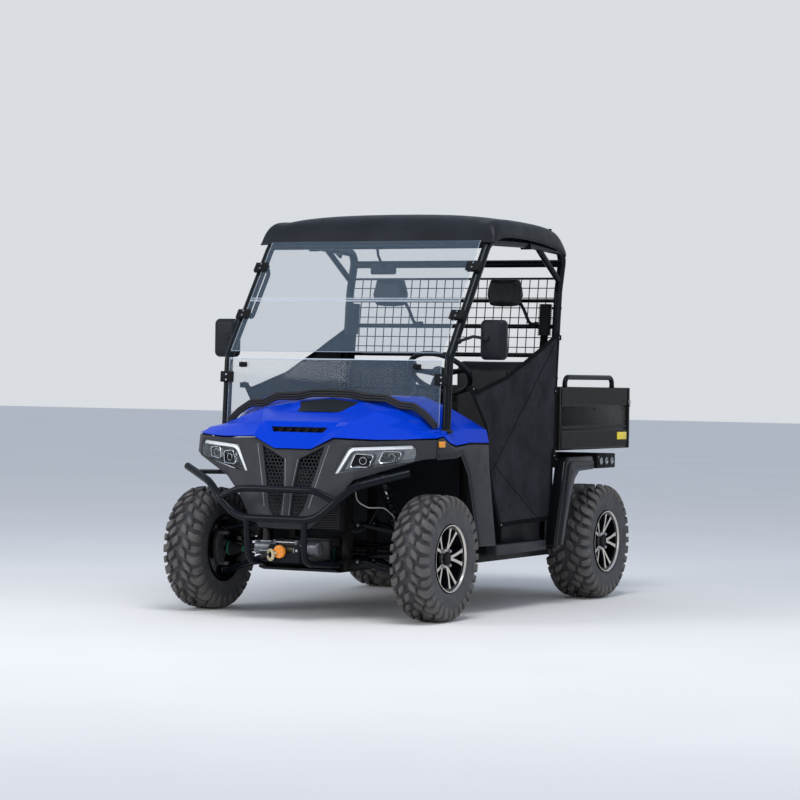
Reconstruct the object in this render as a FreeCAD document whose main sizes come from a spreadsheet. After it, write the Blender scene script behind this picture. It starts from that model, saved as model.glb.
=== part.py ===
import FreeCAD, Part
import math
import os
import re
from FreeCAD import Vector

# Side by side utility vehicle, two seats, cargo bed behind.
# Millimetres. +Z is up, -Y is the nose, +X is the driver's side (the vehicle's own left).
# The origin is on the ground, midway along and across the vehicle.

SIZES = {
    # running gear
    "wheelbase": 1900, "front_axle_y": -975, "front_track": 1310, "rear_track": 1290,
    "tyre_radius": 317.5, "lug_height": 17, "front_tyre_width": 205, "rear_tyre_width": 255,
    "bead_radius": 152.5, "flange_radius": 170, "rim_wall": 6, "bead_setback": 14, "hub_reach": 76,
    "hub_radius": 62, "hub_bore_radius": 20, "disc_radius": 105, "disc_width": 6,
    "kingpin_x": 560, "kingpin_half_height": 88, "steer_arm_length": 92,
    "running_gap": 0.3, "swing_gap": 6,
    # frame
    "rail_half_gauge": 230, "rail_size": 50, "rail_bottom_z": 244, "frame_front_y": -1150,
    "frame_overhang": 383, "sill_x": 600, "post_size": 40, "tower_z": 800, "bed_rail_top_z": 800,
    "cowl_y": -540, "cowl_z": 930, "seat_beam_y": 425, "rack_beam_z": 345, "hitch_beam_z": 360,
    # suspension
    "arm_pivot_x": 275, "arm_half_spread": 85, "arm_tube_radius": 14, "lower_pivot_z": 285,
    "upper_pivot_z": 470, "shock_lean": 110, "shock_radius": 24, "spring_radius": 37,
    "shaft_radius": 13, "boot_radius": 36,
    # safety cage
    "cage_tube_radius": 22.5, "cage_half_width": 645, "pillar_base_y": -849, "pillar_base_z": 933,
    "pillar_knee_z": 1309, "pillar_top_y": -397, "roof_rail_z": 1930, "cage_joint_y": 60,
    "cage_bend_radius": 110, "hoop_bend_radius": 60, "rear_hoop_y": 425, "rear_hoop_base_z": 775,
    # body
    "skin": 5, "hood_half_width": 690, "roof_half_width": 700, "floor_z": 312, "sill_width": 68,
    "glass_thickness": 5, "glass_half_width": 620, "glass_stand_off": 36,
    "seal_thickness": 22,
    "bumper_radius": 16, "bumper_y": -1431,
    # cabin
    "seat_front_y": -120, "seat_depth": 480, "seat_top_z": 765, "cushion_height": 120,
    "seat_width": 435, "seat_centre_x": 342, "back_height": 560, "back_thickness": 95,
    "seat_box_half_width": 598, "seat_box_rear_y": 395,
    "wheel_centre_x": 345, "wheel_centre_y": -338, "wheel_centre_z": 1238,
    "wheel_radius": 165, "wheel_rim_radius": 14, "column_rake": 38,
    # cargo bed
    "bed_side_gap": 0.5, "bed_cage_gap": 33, "bed_overhang": 122, "bed_bottom_z": 826,
    "bed_top_z": 1170, "bed_wall": 28, "bed_hinge_setback": 18, "bed_hinge_rise": 13,
    "gate_gap": 6, "gate_pin_radius": 7, "latch_reach": 17, "grab_rail_top_z": 1240, "grab_rail_radius": 14,
    # hitch receiver: two inch square bore
    "receiver_bore": 51, "receiver_wall": 6, "receiver_length": 150,
    "receiver_pin_radius": 8, "receiver_pin_setback": 45,
    # power unit
    "engine_length": 400, "engine_width": 360, "engine_height": 420, "engine_setback": 73,
    "muffler_radius": 75, "muffler_length": 360, "muffler_setback": 245, "muffler_z": 600,
}

doc = FreeCAD.newDocument("SideBySide")
sheet = doc.addObject("Spreadsheet::Sheet", "Sizes")
for row, (alias, value) in enumerate(SIZES.items(), 1):
    sheet.set(f"A{row}", alias)
    sheet.set(f"B{row}", str(value))
    sheet.setAlias(f"B{row}", alias)
# places that follow from the sizes above
PLACES = {
    "bed_half_width": "cage_half_width + cage_tube_radius + bed_side_gap",
    "engine_front_y": "front_axle_y + wheelbase - engine_setback - engine_length",
    "frame_rear_y": "front_axle_y + wheelbase + frame_overhang",
    "bed_front_y": "rear_hoop_y + bed_cage_gap",
    "bed_rear_y": "frame_rear_y + bed_overhang",
    "bed_hinge_y": "frame_rear_y - bed_hinge_setback",
}
for row, (alias, formula) in enumerate(PLACES.items(), len(SIZES) + 1):
    sheet.set(f"A{row}", alias)
    sheet.set(f"B{row}", "=" + formula)
    sheet.setAlias(f"B{row}", alias)
doc.recompute()


class Values:
    """Reads a driving size of the sheet by its alias."""

    def __getattr__(self, alias):
        return float(getattr(sheet, alias))


S = Values()
NODES = []
ACROSS = Vector(1, 0, 0)
ORIGIN = Vector(0, 0, 0)


# Ways of making a node

def node(obj, label):
    """Marks a document object as a finished sub-part."""
    obj.Label = label
    NODES.append(obj)
    return obj


def shaped(label, *solids):
    """A sub-part whose form is worked out from the sheet's values."""
    obj = doc.addObject("Part::Feature", label)
    obj.Shape = solids[0] if len(solids) == 1 else Part.makeCompound(list(solids))
    return node(obj, label)


def bind(obj, **formulas):
    """Binds properties to formulas of the sheet's aliases."""
    for name, formula in formulas.items():
        text = re.sub(r"[a-z]+_[a-z_]+|skin|wheelbase", lambda word: "Sizes." + word.group(), formula)
        obj.setExpression(name.replace("__", "."), text)
    return obj


def block(name, at, size):
    """A box bound to the sheet: its low corner and its three lengths, as formulas."""
    obj = doc.addObject("Part::Box", name)
    return bind(
        obj, Placement__Base__x=at[0], Placement__Base__y=at[1], Placement__Base__z=at[2],
        Length=size[0], Width=size[1], Height=size[2])


def cross_drum(name, at, radius, length):
    """A cylinder across the vehicle, bound to the sheet; at is the centre of its low end."""
    obj = doc.addObject("Part::Cylinder", name)
    obj.Placement = FreeCAD.Placement(ORIGIN, FreeCAD.Rotation(Vector(0, 1, 0), 90))
    return bind(
        obj, Placement__Base__x=at[0], Placement__Base__y=at[1], Placement__Base__z=at[2],
        Radius=radius, Height=length)


def roller(name, at, radius, length):
    """An eight-sided bar across the vehicle, bound to the sheet; at is the centre of its low end."""
    obj = doc.addObject("Part::Prism", name)
    obj.Polygon = 8
    obj.Placement = FreeCAD.Placement(ORIGIN, FreeCAD.Rotation(Vector(0, 1, 0), 90))
    return bind(
        obj, Placement__Base__x=at[0], Placement__Base__y=at[1], Placement__Base__z=at[2],
        Circumradius=radius, Height=length)


def mirrored(obj):
    """The same piece on the other side of the vehicle."""
    copy = doc.addObject("Part::Mirroring", obj.Name + "_mirror")
    copy.Source = obj
    copy.Normal = ACROSS
    copy.Base = ORIGIN
    return copy


def joined(name, *objs):
    obj = doc.addObject("Part::MultiFuse", name)
    obj.Shapes = list(objs)
    return obj


def cut(name, base, tool):
    obj = doc.addObject("Part::Cut", name)
    obj.Base = base
    obj.Tool = tool
    return obj


def group(name, *objs):
    """Like pieces on one body that don't touch."""
    obj = doc.addObject("Part::Compound", name)
    obj.Links = list(objs)
    return obj


# Ways of working out a form

def other_side(shape):
    return shape.mirror(ORIGIN, ACROSS)


def both_sides(*shapes):
    return [copy for shape in shapes for copy in (shape, other_side(shape))]


def fused(*shapes):
    return shapes[0].multiFuse(list(shapes[1:])).removeSplitter() if len(shapes) > 1 else shapes[0]


def flat(points):
    return Part.Face(Part.makePolygon([Vector(*p) for p in points] + [Vector(*points[0])]))


def slab(points, along):
    """A flat outline pushed along a direction."""
    return flat(points).extrude(Vector(*along))


def side_slab(outline, low_x, high_x):
    """An outline of (y, z) points between two planes across the vehicle."""
    return slab([(low_x, y, z) for y, z in outline], (high_x - low_x, 0, 0))


def front_slab(outline, low_y, high_y):
    """An outline of (x, z) points between two planes along the vehicle."""
    return slab([(x, low_y, z) for x, z in outline], (0, high_y - low_y, 0))


def brick(low, high):
    size = [b - a for a, b in zip(low, high)]
    return Part.makeBox(*size, Vector(*low))


def section(centre, along, radius, sides):
    """Corner points of a regular section square to a direction; the radius reaches its flats."""
    along, radius = Vector(*along).normalize(), radius / math.cos(math.pi / sides)
    across = along.cross(Vector(0, 0, 1) if abs(along.z) < 0.9 else Vector(1, 0, 0)).normalize()
    rise = along.cross(across)
    angles = [2 * math.pi * (k + 0.5) / sides for k in range(sides)]
    return [centre + across * (radius * math.cos(a)) + rise * (radius * math.sin(a)) for a in angles]


def prism(rings):
    """A closed solid through rings of corner points, flat at both ends."""
    faces = [Part.Face(Part.makePolygon([*ring, ring[0]])) for ring in (rings[0], rings[-1])]
    for ring, after in zip(rings, rings[1:]):
        for k in range(len(ring)):
            n = (k + 1) % len(ring)
            faces.append(Part.Face(Part.makePolygon([ring[k], ring[n], after[n], after[k], ring[k]])))
    return closed(faces)


def rod(start, end, radius, sides=8):
    """A bar of many-sided section, which is how round stock is drawn here."""
    start, end = Vector(*start), Vector(*end)
    ring = section(start, end - start, radius, sides)
    return prism([ring, [p + end - start for p in ring]])


def turned(start, along, steps, sides=8):
    """A turned piece on an axis, from (distance, radius) steps."""
    start, along = Vector(*start), Vector(*along).normalize()
    return prism([section(start + along * reach, along, radius, sides) for reach, radius in steps])


def bar(start, end, width, depth, up=(0, 0, 1)):
    """A rectangular bar between two points; depth is measured towards up."""
    start, end = Vector(*start), Vector(*end)
    along = (end - start).normalize()
    side = along.cross(Vector(*up)).normalize() * (width / 2)
    rise = side.cross(along).normalize() * (depth / 2)
    corners = [start + side + rise, start - side + rise, start - side - rise, start + side - rise]
    return Part.Face(Part.makePolygon(corners + corners[:1])).extrude(end - start)


def bent_path(points, bend, steps=3):
    """The points of a path whose inner corners are rounded in a few short runs."""
    path = [points[0]]
    for before, corner, after in zip(points, points[1:], points[2:]):
        into, out = (corner - before).normalize(), (after - corner).normalize()
        turn = into.getAngle(out)
        first = corner - into * bend * math.tan(turn / 2)
        centre = first + (out - into * into.dot(out)).normalize() * bend
        spoke = first - centre
        for step in range(steps + 1):
            angle = turn * step / steps
            path.append(centre + spoke * math.cos(angle) + into * (bend * math.sin(angle)))
    return path + [points[-1]]


def tube(points, radius, bend, sides=8, steps=2):
    """A tube through the points, bent at the inner ones, its sections mitred along the way."""
    path = bent_path([Vector(*p) for p in points], bend, steps)
    ring = section(path[0], path[1] - path[0], radius, sides)
    rings = [ring]
    for before, here, after in zip(path, path[1:], path[2:]):
        into, out = (here - before).normalize(), (after - here).normalize()
        mitre = (into + out).normalize()
        ring = [p + into * ((here - p).dot(mitre) / into.dot(mitre)) for p in ring]
        rings.append(ring)
    into = (path[-1] - path[-2]).normalize()
    rings.append([p + into * (path[-1] - p).dot(into) for p in ring])
    return prism(rings)


def revolved_facets(profile, count, centre):
    """A ring of flat facets about an axis across the vehicle, from (x, radius) points."""
    centre = Vector(*centre)

    def at(index, x, radius):
        angle = 2 * math.pi * index / count
        return centre + Vector(x, radius * math.cos(angle), radius * math.sin(angle))

    faces = []
    for index in range(count):
        for (x0, r0), (x1, r1) in zip(profile, profile[1:] + profile[:1]):
            corners = [at(index, x0, r0), at(index, x1, r1), at(index + 1, x1, r1), at(index + 1, x0, r0)]
            faces.append(Part.Face(Part.makePolygon(corners + corners[:1])))
    return closed(faces)


def closed(faces):
    solid = Part.Solid(Part.Shell(faces))
    if solid.Volume < 0:
        solid.reverse()
    return solid


def triangles(a, b, c, d, lean):
    """A four-cornered patch as two flat triangles."""
    pair = ((a, b, c), (a, c, d)) if lean else ((a, b, d), (b, c, d))
    return [Part.Face(Part.makePolygon([*corners, corners[0]])) for corners in pair]


def moulded_skin(half_rows, wall):
    """A thin shell symmetric across the vehicle. Each row holds (x, y, z) from the middle outwards."""
    rows = [[(-x, y, z) for x, y, z in row[:0:-1]] + list(row) for row in half_rows]
    outer = [[Vector(*p) for p in row] for row in rows]
    last_row, last = len(outer) - 1, len(outer[0]) - 1

    def inward(i, j):
        along = outer[min(i + 1, last_row)][j] - outer[max(i - 1, 0)][j]
        across = outer[i][min(j + 1, last)] - outer[i][max(j - 1, 0)]
        return along.cross(across).normalize()

    inner = [[p + inward(i, j) * wall for j, p in enumerate(row)] for i, row in enumerate(outer)]
    faces = []
    for i in range(last_row):
        for j in range(last):
            lean = j < last / 2
            for grid in (outer, inner):
                faces += triangles(grid[i][j], grid[i][j + 1], grid[i + 1][j + 1], grid[i + 1][j], lean)
    for i in (0, last_row):
        for j in range(last):
            faces += triangles(outer[i][j], outer[i][j + 1], inner[i][j + 1], inner[i][j], j < last / 2)
    for j in (0, last):
        for i in range(last_row):
            faces += triangles(outer[i][j], outer[i + 1][j], inner[i + 1][j], inner[i][j], True)
    return closed(faces).removeSplitter()


# Axles and wheels

AXLES = {
    "front": (S.front_axle_y, S.front_track / 2, S.front_tyre_width),
    "rear": (S.front_axle_y + S.wheelbase, S.rear_track / 2, S.rear_tyre_width),
}
LUG_COLUMNS = 36
RIM_FACETS = 20
SPINDLE_SIDES = 16
flat_shrink = math.cos(math.pi / LUG_COLUMNS)
axle_z = S.tyre_radius * flat_shrink


def tyre(axle):
    """A mud tyre: block lugs stand on every second column of each half, staggered side to side."""
    half, crown = AXLES[axle][2] / 2, S.tyre_radius - S.lug_height
    bead, bore = half - S.bead_setback, S.bead_radius / math.cos(math.pi / RIM_FACETS)
    # from the crown's middle outwards: x, radius, radius on a lug, slant in degrees
    stations = [(0.05 * half, crown, S.tyre_radius, 0), (0.52 * half, crown - 1, S.tyre_radius - 0.5, 5),
                (0.96 * half, crown - 16, S.tyre_radius - 9, 9), (half, crown - 46, crown - 46, 9),
                (bead, S.flange_radius + 3, S.flange_radius + 3, 9), (bead, bore, bore, 9)]
    step = 360 / LUG_COLUMNS

    def at(side, line, x, radius, slant):
        angle = math.radians(line * step + step / 2 + slant)
        return Vector(side * x, radius * math.sin(angle), -radius * math.cos(angle))

    faces = []
    for line in range(LUG_COLUMNS):
        for side in (1, -1):
            raised = (line + (side > 0)) % 2 == 0
            low = [[at(side, k, x, r, a) for k in (line, line + 1)] for x, r, _, a in stations]
            high = [[at(side, k, x, r, a) for k in (line, line + 1)] for x, _, r, a in stations]
            skin_line = high if raised else low
            for near, far in zip(skin_line, skin_line[1:]):
                faces += triangles(near[0], near[1], far[1], far[0], True)
            if raised:
                faces += triangles(low[0][0], low[0][1], high[0][1], high[0][0], True)
                for end in (0, 1):
                    for k in (0, 1):
                        faces += triangles(low[k][end], low[k + 1][end], high[k + 1][end], high[k][end], True)
                    faces.append(flat([low[2][end], high[2][end], low[3][end]]))
        for x, radius, _, slant in (stations[0], stations[-1]):
            band = [at(side, k, x, radius, slant) for side, k in
                    ((1, line), (1, line + 1), (-1, line + 1), (-1, line))]
            faces += triangles(*band, True)
    return closed(faces)


def rim(axle):
    """A cast wheel: barrel with two flanges, a face of five split spokes, a hub and a brake disc."""
    _, wheel_x, width = AXLES[axle]
    seat, wall, bead = S.bead_radius - S.running_gap, S.rim_wall, width / 2 - S.bead_setback
    inner = seat - wall
    bead_wall = bead + S.running_gap
    edge = bead_wall + wall
    profile = [(-edge, S.flange_radius), (-bead_wall, S.flange_radius), (-bead_wall, seat), (bead_wall, seat),
               (bead_wall, S.flange_radius), (edge, S.flange_radius), (edge, inner), (-edge, inner)]
    barrel = revolved_facets(profile, RIM_FACETS, ORIGIN)
    face_x, face_depth = edge - 12, 20
    hub_in = S.kingpin_x + S.hub_reach - wheel_x
    face = rod((face_x - face_depth, 0, 0), (face_x, 0, 0), (inner + wall / 2) * math.cos(math.pi / RIM_FACETS), RIM_FACETS)
    windows = []
    for arm in range(5):
        # outlines of (across, outward) points: the wide window between spokes, and the slot that splits one
        for outline, turn in (([(-9, 58), (9, 58), (58, 126), (-58, 126)], 36),
                              ([(-4, 66), (4, 66), (17, 132), (-17, 132)], 0)):
            window = slab([(face_x - face_depth - 1, v, u) for v, u in outline], (face_depth + 2, 0, 0))
            window.rotate(ORIGIN, ACROSS, 72 * arm + turn)
            windows.append(window)
    hub = rod((hub_in, 0, 0), (face_x - face_depth, 0, 0), S.hub_radius, 8)
    disc = rod((hub_in + 8, 0, 0), (hub_in + 8 + S.disc_width, 0, 0), S.disc_radius, 12)
    bore = rod((hub_in - 1, 0, 0), (hub_in + 26, 0, 0), S.hub_bore_radius + S.running_gap, SPINDLE_SIDES)
    return fused(barrel, face.cut(windows), hub, disc).cut(bore)


for axle in AXLES:
    axle_y, wheel_x, _ = AXLES[axle]
    for maker in (tyre, rim):
        shape = maker(axle)
        shape.translate(Vector(wheel_x, axle_y, axle_z))
        shaped(f"{maker.__name__}_{axle}_left", shape)
        shaped(f"{maker.__name__}_{axle}_right", other_side(shape))


# Knuckles, arms, shafts and shock absorbers

front_y, rear_y = AXLES["front"][0], AXLES["rear"][0]
pillar_radius = S.cage_tube_radius
shock_foot_x = S.kingpin_x - 120
shock_head_x = shock_foot_x - S.shock_lean
spindle_end = S.kingpin_x + S.hub_reach + 24
arm_end_y = S.steer_arm_length


def knuckle(axle_y, steered):
    """An upright with two ball joint bosses and the spindle that the hub turns on."""
    x = S.kingpin_x
    low, high = axle_z - S.kingpin_half_height, axle_z + S.kingpin_half_height
    upright = side_slab(
        [(axle_y - 42, axle_z - 45), (axle_y - 18, low), (axle_y + 18, low), (axle_y + 42, axle_z - 45),
         (axle_y + 42, axle_z + 45), (axle_y + 18, high), (axle_y - 18, high), (axle_y - 42, axle_z + 45)],
        x + 28, x + 52)
    spindle_radius = S.hub_bore_radius * math.cos(math.pi / SPINDLE_SIDES)
    pieces = [upright, rod((x + 50, axle_y, axle_z), (spindle_end, axle_y, axle_z), spindle_radius, SPINDLE_SIDES)]
    for z, height in ((low, 18), (high, -18)):
        pieces.append(brick((x, axle_y - 18, min(z, z + height)), (x + 40, axle_y + 18, max(z, z + height))))
        pieces.append(rod((x, axle_y, min(z, z + height)), (x, axle_y, max(z, z + height)), 18))
    if steered:
        pieces.append(bar((x + 40, axle_y + 20, axle_z + 20), (x - 30, axle_y + arm_end_y, axle_z + 20), 26, 14))
        pieces.append(rod((x - 30, axle_y + arm_end_y, axle_z + 13), (x - 30, axle_y + arm_end_y, axle_z + 27), 16))
    return fused(*pieces)


def wishbone(axle_y, pivot_z, ball_z, boss_low, boss_high):
    """A two-legged arm from its bushings on the frame to a ball joint boss."""
    x = S.kingpin_x
    pieces = [rod((x, axle_y, boss_low), (x, axle_y, boss_high), 20, 6)]
    for side in (-1, 1):
        y = axle_y + side * S.arm_half_spread
        pieces.append(rod((S.arm_pivot_x, y, pivot_z), (x - 6, axle_y + side * 8, ball_z), S.arm_tube_radius, 6))
        pieces.append(rod((S.arm_pivot_x, y - 20, pivot_z), (S.arm_pivot_x, y + 20, pivot_z), 18, 6))
    return fused(*pieces)


def arms(axle_y):
    low = axle_z - S.kingpin_half_height - S.running_gap
    high = axle_z + S.kingpin_half_height + S.running_gap
    lower = wishbone(axle_y, S.lower_pivot_z, low - 20, low - 32, low)
    upper = wishbone(axle_y, S.upper_pivot_z, high + 17, high, high + 28)
    seat_x = shock_foot_x
    seat_z = high + 14 + (S.upper_pivot_z - high - 14) * 120 / (S.kingpin_x - S.arm_pivot_x)
    perch = brick((seat_x - 22, axle_y - 62, seat_z - 10), (seat_x + 22, axle_y + 62, seat_z + 16))
    return lower, fused(upper, perch)


def shock(axle_y, top_z):
    """A coil-over damper: body, rod and a spring of turned rings, leaning in towards its tower."""
    high = axle_z + S.kingpin_half_height + S.running_gap
    seat_x = shock_foot_x
    seat_z = high + 30 + (S.upper_pivot_z - high - 14) * 120 / (S.kingpin_x - S.arm_pivot_x)
    foot = Vector(seat_x, axle_y, seat_z + S.running_gap)
    head = Vector(shock_head_x, axle_y, top_z - S.post_size - S.running_gap)
    along = (head - foot).normalize()
    length = (head - foot).Length
    slope = math.degrees(math.atan2(head.x - foot.x, head.z - foot.z))

    def ringed(profile, count=6):
        body = revolved_facets(profile, count, (0, 0, 0))
        body.rotate(ORIGIN, Vector(0, 1, 0), -90 + slope)
        body.translate(foot)
        return body

    margin, turns, wire = 24, 4, 8
    coil = [(margin, 0.1), (margin, S.shock_radius)]
    pitch = (length - 2 * margin) / turns
    for turn in range(turns):
        start = margin + turn * pitch
        coil += [(start + 0.25 * pitch, S.spring_radius), (start + 0.25 * pitch + 2 * wire, S.spring_radius),
                 (start + pitch, S.shock_radius)]
    coil.append((length - margin, 0.1))
    spring = ringed(coil)
    ends = [brick((foot.x - 16, axle_y - 16, foot.z), (foot.x + 16, axle_y + 16, foot.z + 34)),
            brick((head.x - 16, axle_y - 16, head.z - 34), (head.x + 16, axle_y + 16, head.z))]
    return fused(spring, *ends)


def half_shaft(axle_y, inner_x):
    """A drive shaft with a ribbed boot at each joint; its outer ball is centred on the kingpin."""
    length, shaft, boot = S.kingpin_x - inner_x, S.shaft_radius, S.boot_radius
    steps = [(0, boot), (12, boot), (85, shaft + 6), (86, shaft),
             (length - 108, shaft), (length - 107, shaft + 6), (length - 32, boot), (length - 20, boot),
             (length - 19, shaft + 4), (length + 2, shaft + 4)]
    return turned((inner_x, axle_y, axle_z), ACROSS, steps)


shaped("knuckle_left", knuckle(front_y, True))
shaped("knuckle_right", other_side(knuckle(front_y, True)))
shaped("rear_knuckles", *both_sides(knuckle(rear_y, False)))
shaped("front_arms", *both_sides(*arms(front_y)))
shaped("rear_arms", *both_sides(*arms(rear_y)))
shaped("front_shocks", *both_sides(shock(front_y, S.tower_z)))
shaped("rear_shocks", *both_sides(shock(rear_y, S.bed_rail_top_z)))
diff_half_width = 90
drive_half_height = 65
shaped("half_shafts", *both_sides(half_shaft(front_y, diff_half_width + S.running_gap),
                                 half_shaft(rear_y, diff_half_width + S.running_gap)))

shaped("final_drives",
       *[brick((-diff_half_width, y - 65, axle_z - drive_half_height),
               (diff_half_width, y + 65, axle_z + drive_half_height)) for y in (front_y, rear_y)])


# Frame

rail_top = S.rail_bottom_z + S.rail_size
sill_top = S.floor_z


def frame_rails():
    half, low = S.rail_size / 2, S.rail_bottom_z
    gauge, sill = S.rail_half_gauge, S.sill_x
    post = S.post_size / 2
    nose_y, bulkhead_y = front_y - 130, front_y + 130
    tail_y = S.frame_rear_y - post
    bed_low, drive_low = S.bed_rail_top_z - S.post_size, rail_top - S.post_size
    pieces = []
    for side in (1, -1):
        x = side * gauge
        pieces.append(brick((x - half, S.frame_front_y, low), (x + half, S.frame_rear_y, rail_top)))
        pieces.append(brick((x - post, nose_y, S.tower_z - S.post_size), (x + post, bulkhead_y, S.tower_z)))
        pieces.append(brick((x - post, S.bed_front_y + 30, bed_low), (x + post, S.frame_rear_y, S.bed_rail_top_z)))
        x = side * sill
        pieces.append(brick((x - half, S.cowl_y - half, sill_top - S.rail_size),
                            (x + half, S.seat_beam_y + half, sill_top)))
        # posts: x, y and top z
        posts = ((gauge, nose_y, S.tower_z), (gauge, bulkhead_y, S.tower_z),
                 (gauge, rear_y - 130, S.bed_rail_top_z), (gauge, rear_y + 130, S.bed_rail_top_z),
                 (gauge, tail_y, S.bed_rail_top_z), (sill, S.seat_beam_y, S.rear_hoop_base_z),
                 (sill, S.cowl_y, S.cowl_z))
        for post_x, y, top in posts:
            x = side * post_x
            pieces.append(brick((x - post, y - post, rail_top - 10), (x + post, y + post, top)))
    beam_reach = S.cage_half_width + pillar_radius + 8
    # cross members: y, half length, low z
    cross = ((S.frame_front_y + half, gauge, low), (bulkhead_y, gauge, low), (bulkhead_y, gauge, S.rack_beam_z),
             (S.cowl_y, sill, drive_low + 8), (S.seat_beam_y, sill, drive_low + 8),
             (S.engine_front_y + 60, gauge, drive_low), (S.engine_front_y + S.engine_length - 60, gauge, drive_low),
             (rear_y + 130, gauge, low), (tail_y, gauge, low), (tail_y, gauge, S.hitch_beam_z),
             (front_y, shock_head_x + 20, S.tower_z - S.post_size), (rear_y, shock_head_x + 20, bed_low),
             (rear_y + S.muffler_setback, gauge, bed_low), (tail_y, gauge, bed_low),
             (S.seat_beam_y, beam_reach, S.rear_hoop_base_z - S.post_size),
             (S.cowl_y, sill, S.cowl_z - S.post_size))
    for y, reach, z in cross:
        pieces.append(brick((-reach, y - post, z), (reach, y + post, z + S.post_size)))
    return pieces


def pillar_stays():
    """Outriggers from the cowl posts forward to the feet of the front pillars."""
    pieces = []
    for side in (1, -1):
        start = (side * S.sill_x, S.cowl_y, S.cowl_z - 22)
        end = (side * S.cage_half_width, S.pillar_base_y - 22, S.pillar_base_z - 19)
        pieces.append(bar(start, end, 36, 36))
    return pieces


def drive_plates():
    """Plates between the frame's posts that carry the arms' bushings and the final drives."""
    pieces = []
    for axle_y in (front_y, rear_y):
        pieces.append(brick((-S.rail_half_gauge, axle_y - 60, S.rail_bottom_z),
                            (S.rail_half_gauge, axle_y + 60, axle_z - drive_half_height - S.running_gap)))
        for side in (1, -1):
            for z in (S.lower_pivot_z, S.upper_pivot_z):
                first, last = sorted((side * S.rail_half_gauge, side * (S.arm_pivot_x - 18 - S.running_gap)))
                pieces.append(brick((first, axle_y - 140, z - 11), (last, axle_y + 140, z + 11)))
    return pieces


shaped("chassis_frame", fused(*frame_rails(), *pillar_stays(), *drive_plates()))


# Floor, sills and skid plate

floor = joined(
    "FloorJoin",
    block("FloorPlate", ("-sill_x + post_size / 2 + running_gap", "cowl_y - post_size / 2", "floor_z + running_gap"),
          ("2 * sill_x - post_size - 2 * running_gap", "seat_beam_y - cowl_y", "skin")),
    block("ToeBoard", ("-sill_x + post_size / 2 + running_gap", "cowl_y - post_size / 2 - skin",
                       "floor_z + running_gap"),
          ("2 * sill_x - post_size - 2 * running_gap", "skin", "cowl_z - floor_z - post_size - 20")))
node(floor, "floor_pan")

step = block("SillStep", ("sill_x + rail_size / 2 + running_gap", "cowl_y + 200", "floor_z - 14"),
             ("sill_width", "seat_beam_y - cowl_y - 355", "52"))
node(group("Sills", step, mirrored(step)), "sills")

skid_line = [(-1215, 246), (-1165, 233), (front_y + 60, 232), (-600, 238.4)]
skid_outline = skid_line + [(y, z + S.skin) for y, z in reversed(skid_line)]
shaped("skid_plate", side_slab(skid_outline, -S.rail_half_gauge + 10, S.rail_half_gauge - 10))


# Safety cage

cage_x = S.cage_half_width
knee = (cage_x, S.pillar_base_y + 20, S.pillar_knee_z)
brow = (cage_x, S.pillar_top_y, S.roof_rail_z - 8)
# the rear hoop from its foot to its top: y and z
hoop_line = [(S.rear_hoop_y, S.rear_hoop_base_z), (S.rear_hoop_y + 5, 1185), (S.rear_hoop_y + 54, 1689),
             (S.rear_hoop_y + 112, S.roof_rail_z - 20)]


def hoop_y(z):
    """Where the rear hoop's upright stands at a height."""
    for (y0, z0), (y1, z1) in zip(hoop_line, hoop_line[1:]):
        if z <= z1:
            break
    return y0 + (y1 - y0) * (z - z0) / (z1 - z0)


def rail_z(y):
    """The height of a roof rail's axis."""
    joint = (S.cage_joint_y, S.roof_rail_z)
    (y0, z0), (y1, z1) = (brow[1:], joint) if y < joint[0] else (joint, hoop_line[-1])
    return z0 + (z1 - z0) * (y - y0) / (y1 - y0)


def joint_plate(side, low_y):
    """The square flange at the end of a roof rail."""
    return brick((side * cage_x - 30, low_y, S.roof_rail_z - 30), (side * cage_x + 30, low_y + 6, S.roof_rail_z + 30))


def foot_plate(side, y, z):
    """The square flange that a cage tube stands on."""
    return brick((side * cage_x - pillar_radius, y - 26, z), (side * cage_x + pillar_radius, y + 26, z + 8))


def cage_front():
    path = [(cage_x, S.pillar_base_y, S.pillar_base_z + 3), knee, brow, (cage_x, S.cage_joint_y - 2, S.roof_rail_z)]
    pieces = []
    for side in (1, -1):
        pieces.append(tube([(side * x, y, z) for x, y, z in path], pillar_radius, S.cage_bend_radius))
        pieces.append(foot_plate(side, S.pillar_base_y, S.pillar_base_z + S.running_gap))
        pieces.append(joint_plate(side, S.cage_joint_y - 6))
    header_y, header_z = S.pillar_top_y - 8, S.roof_rail_z - 26
    pieces.append(rod((-cage_x, header_y, header_z), (cage_x, header_y, header_z), pillar_radius - 4))
    return fused(*pieces)


def cage_rear():
    uprights = [(cage_x, y, z) for y, z in hoop_line]
    uprights[0] = (cage_x, S.rear_hoop_y, S.rear_hoop_base_z + 3)
    path = uprights + [(cage_x, S.cage_joint_y + 2, S.roof_rail_z)]
    pieces = []
    for side in (1, -1):
        pieces.append(tube([(side * x, y, z) for x, y, z in path], pillar_radius, S.hoop_bend_radius))
        pieces.append(rod((side * cage_x, hoop_y(1743), 1743), (side * cage_x, S.cage_joint_y + 122, S.roof_rail_z),
                          pillar_radius - 6))
        pieces.append(foot_plate(side, S.rear_hoop_y, S.rear_hoop_base_z + S.running_gap))
        pieces.append(joint_plate(side, S.cage_joint_y + S.running_gap))
    # bars across: height, radius, and how far they stand ahead of the hoop
    for z, radius, ahead in ((S.roof_rail_z - 85, pillar_radius - 2, 0), (1640, 10, 10), (1500, 12, 0), (1343, 12, 0)):
        y = hoop_y(z) - ahead
        pieces.append(rod((-cage_x, y, z), (cage_x, y, z), radius))
    return fused(*pieces)


shaped("cage_front", cage_front())
shaped("cage_rear", cage_rear())


# Rear screen: a welded grid, wires across behind wires up and down

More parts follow.
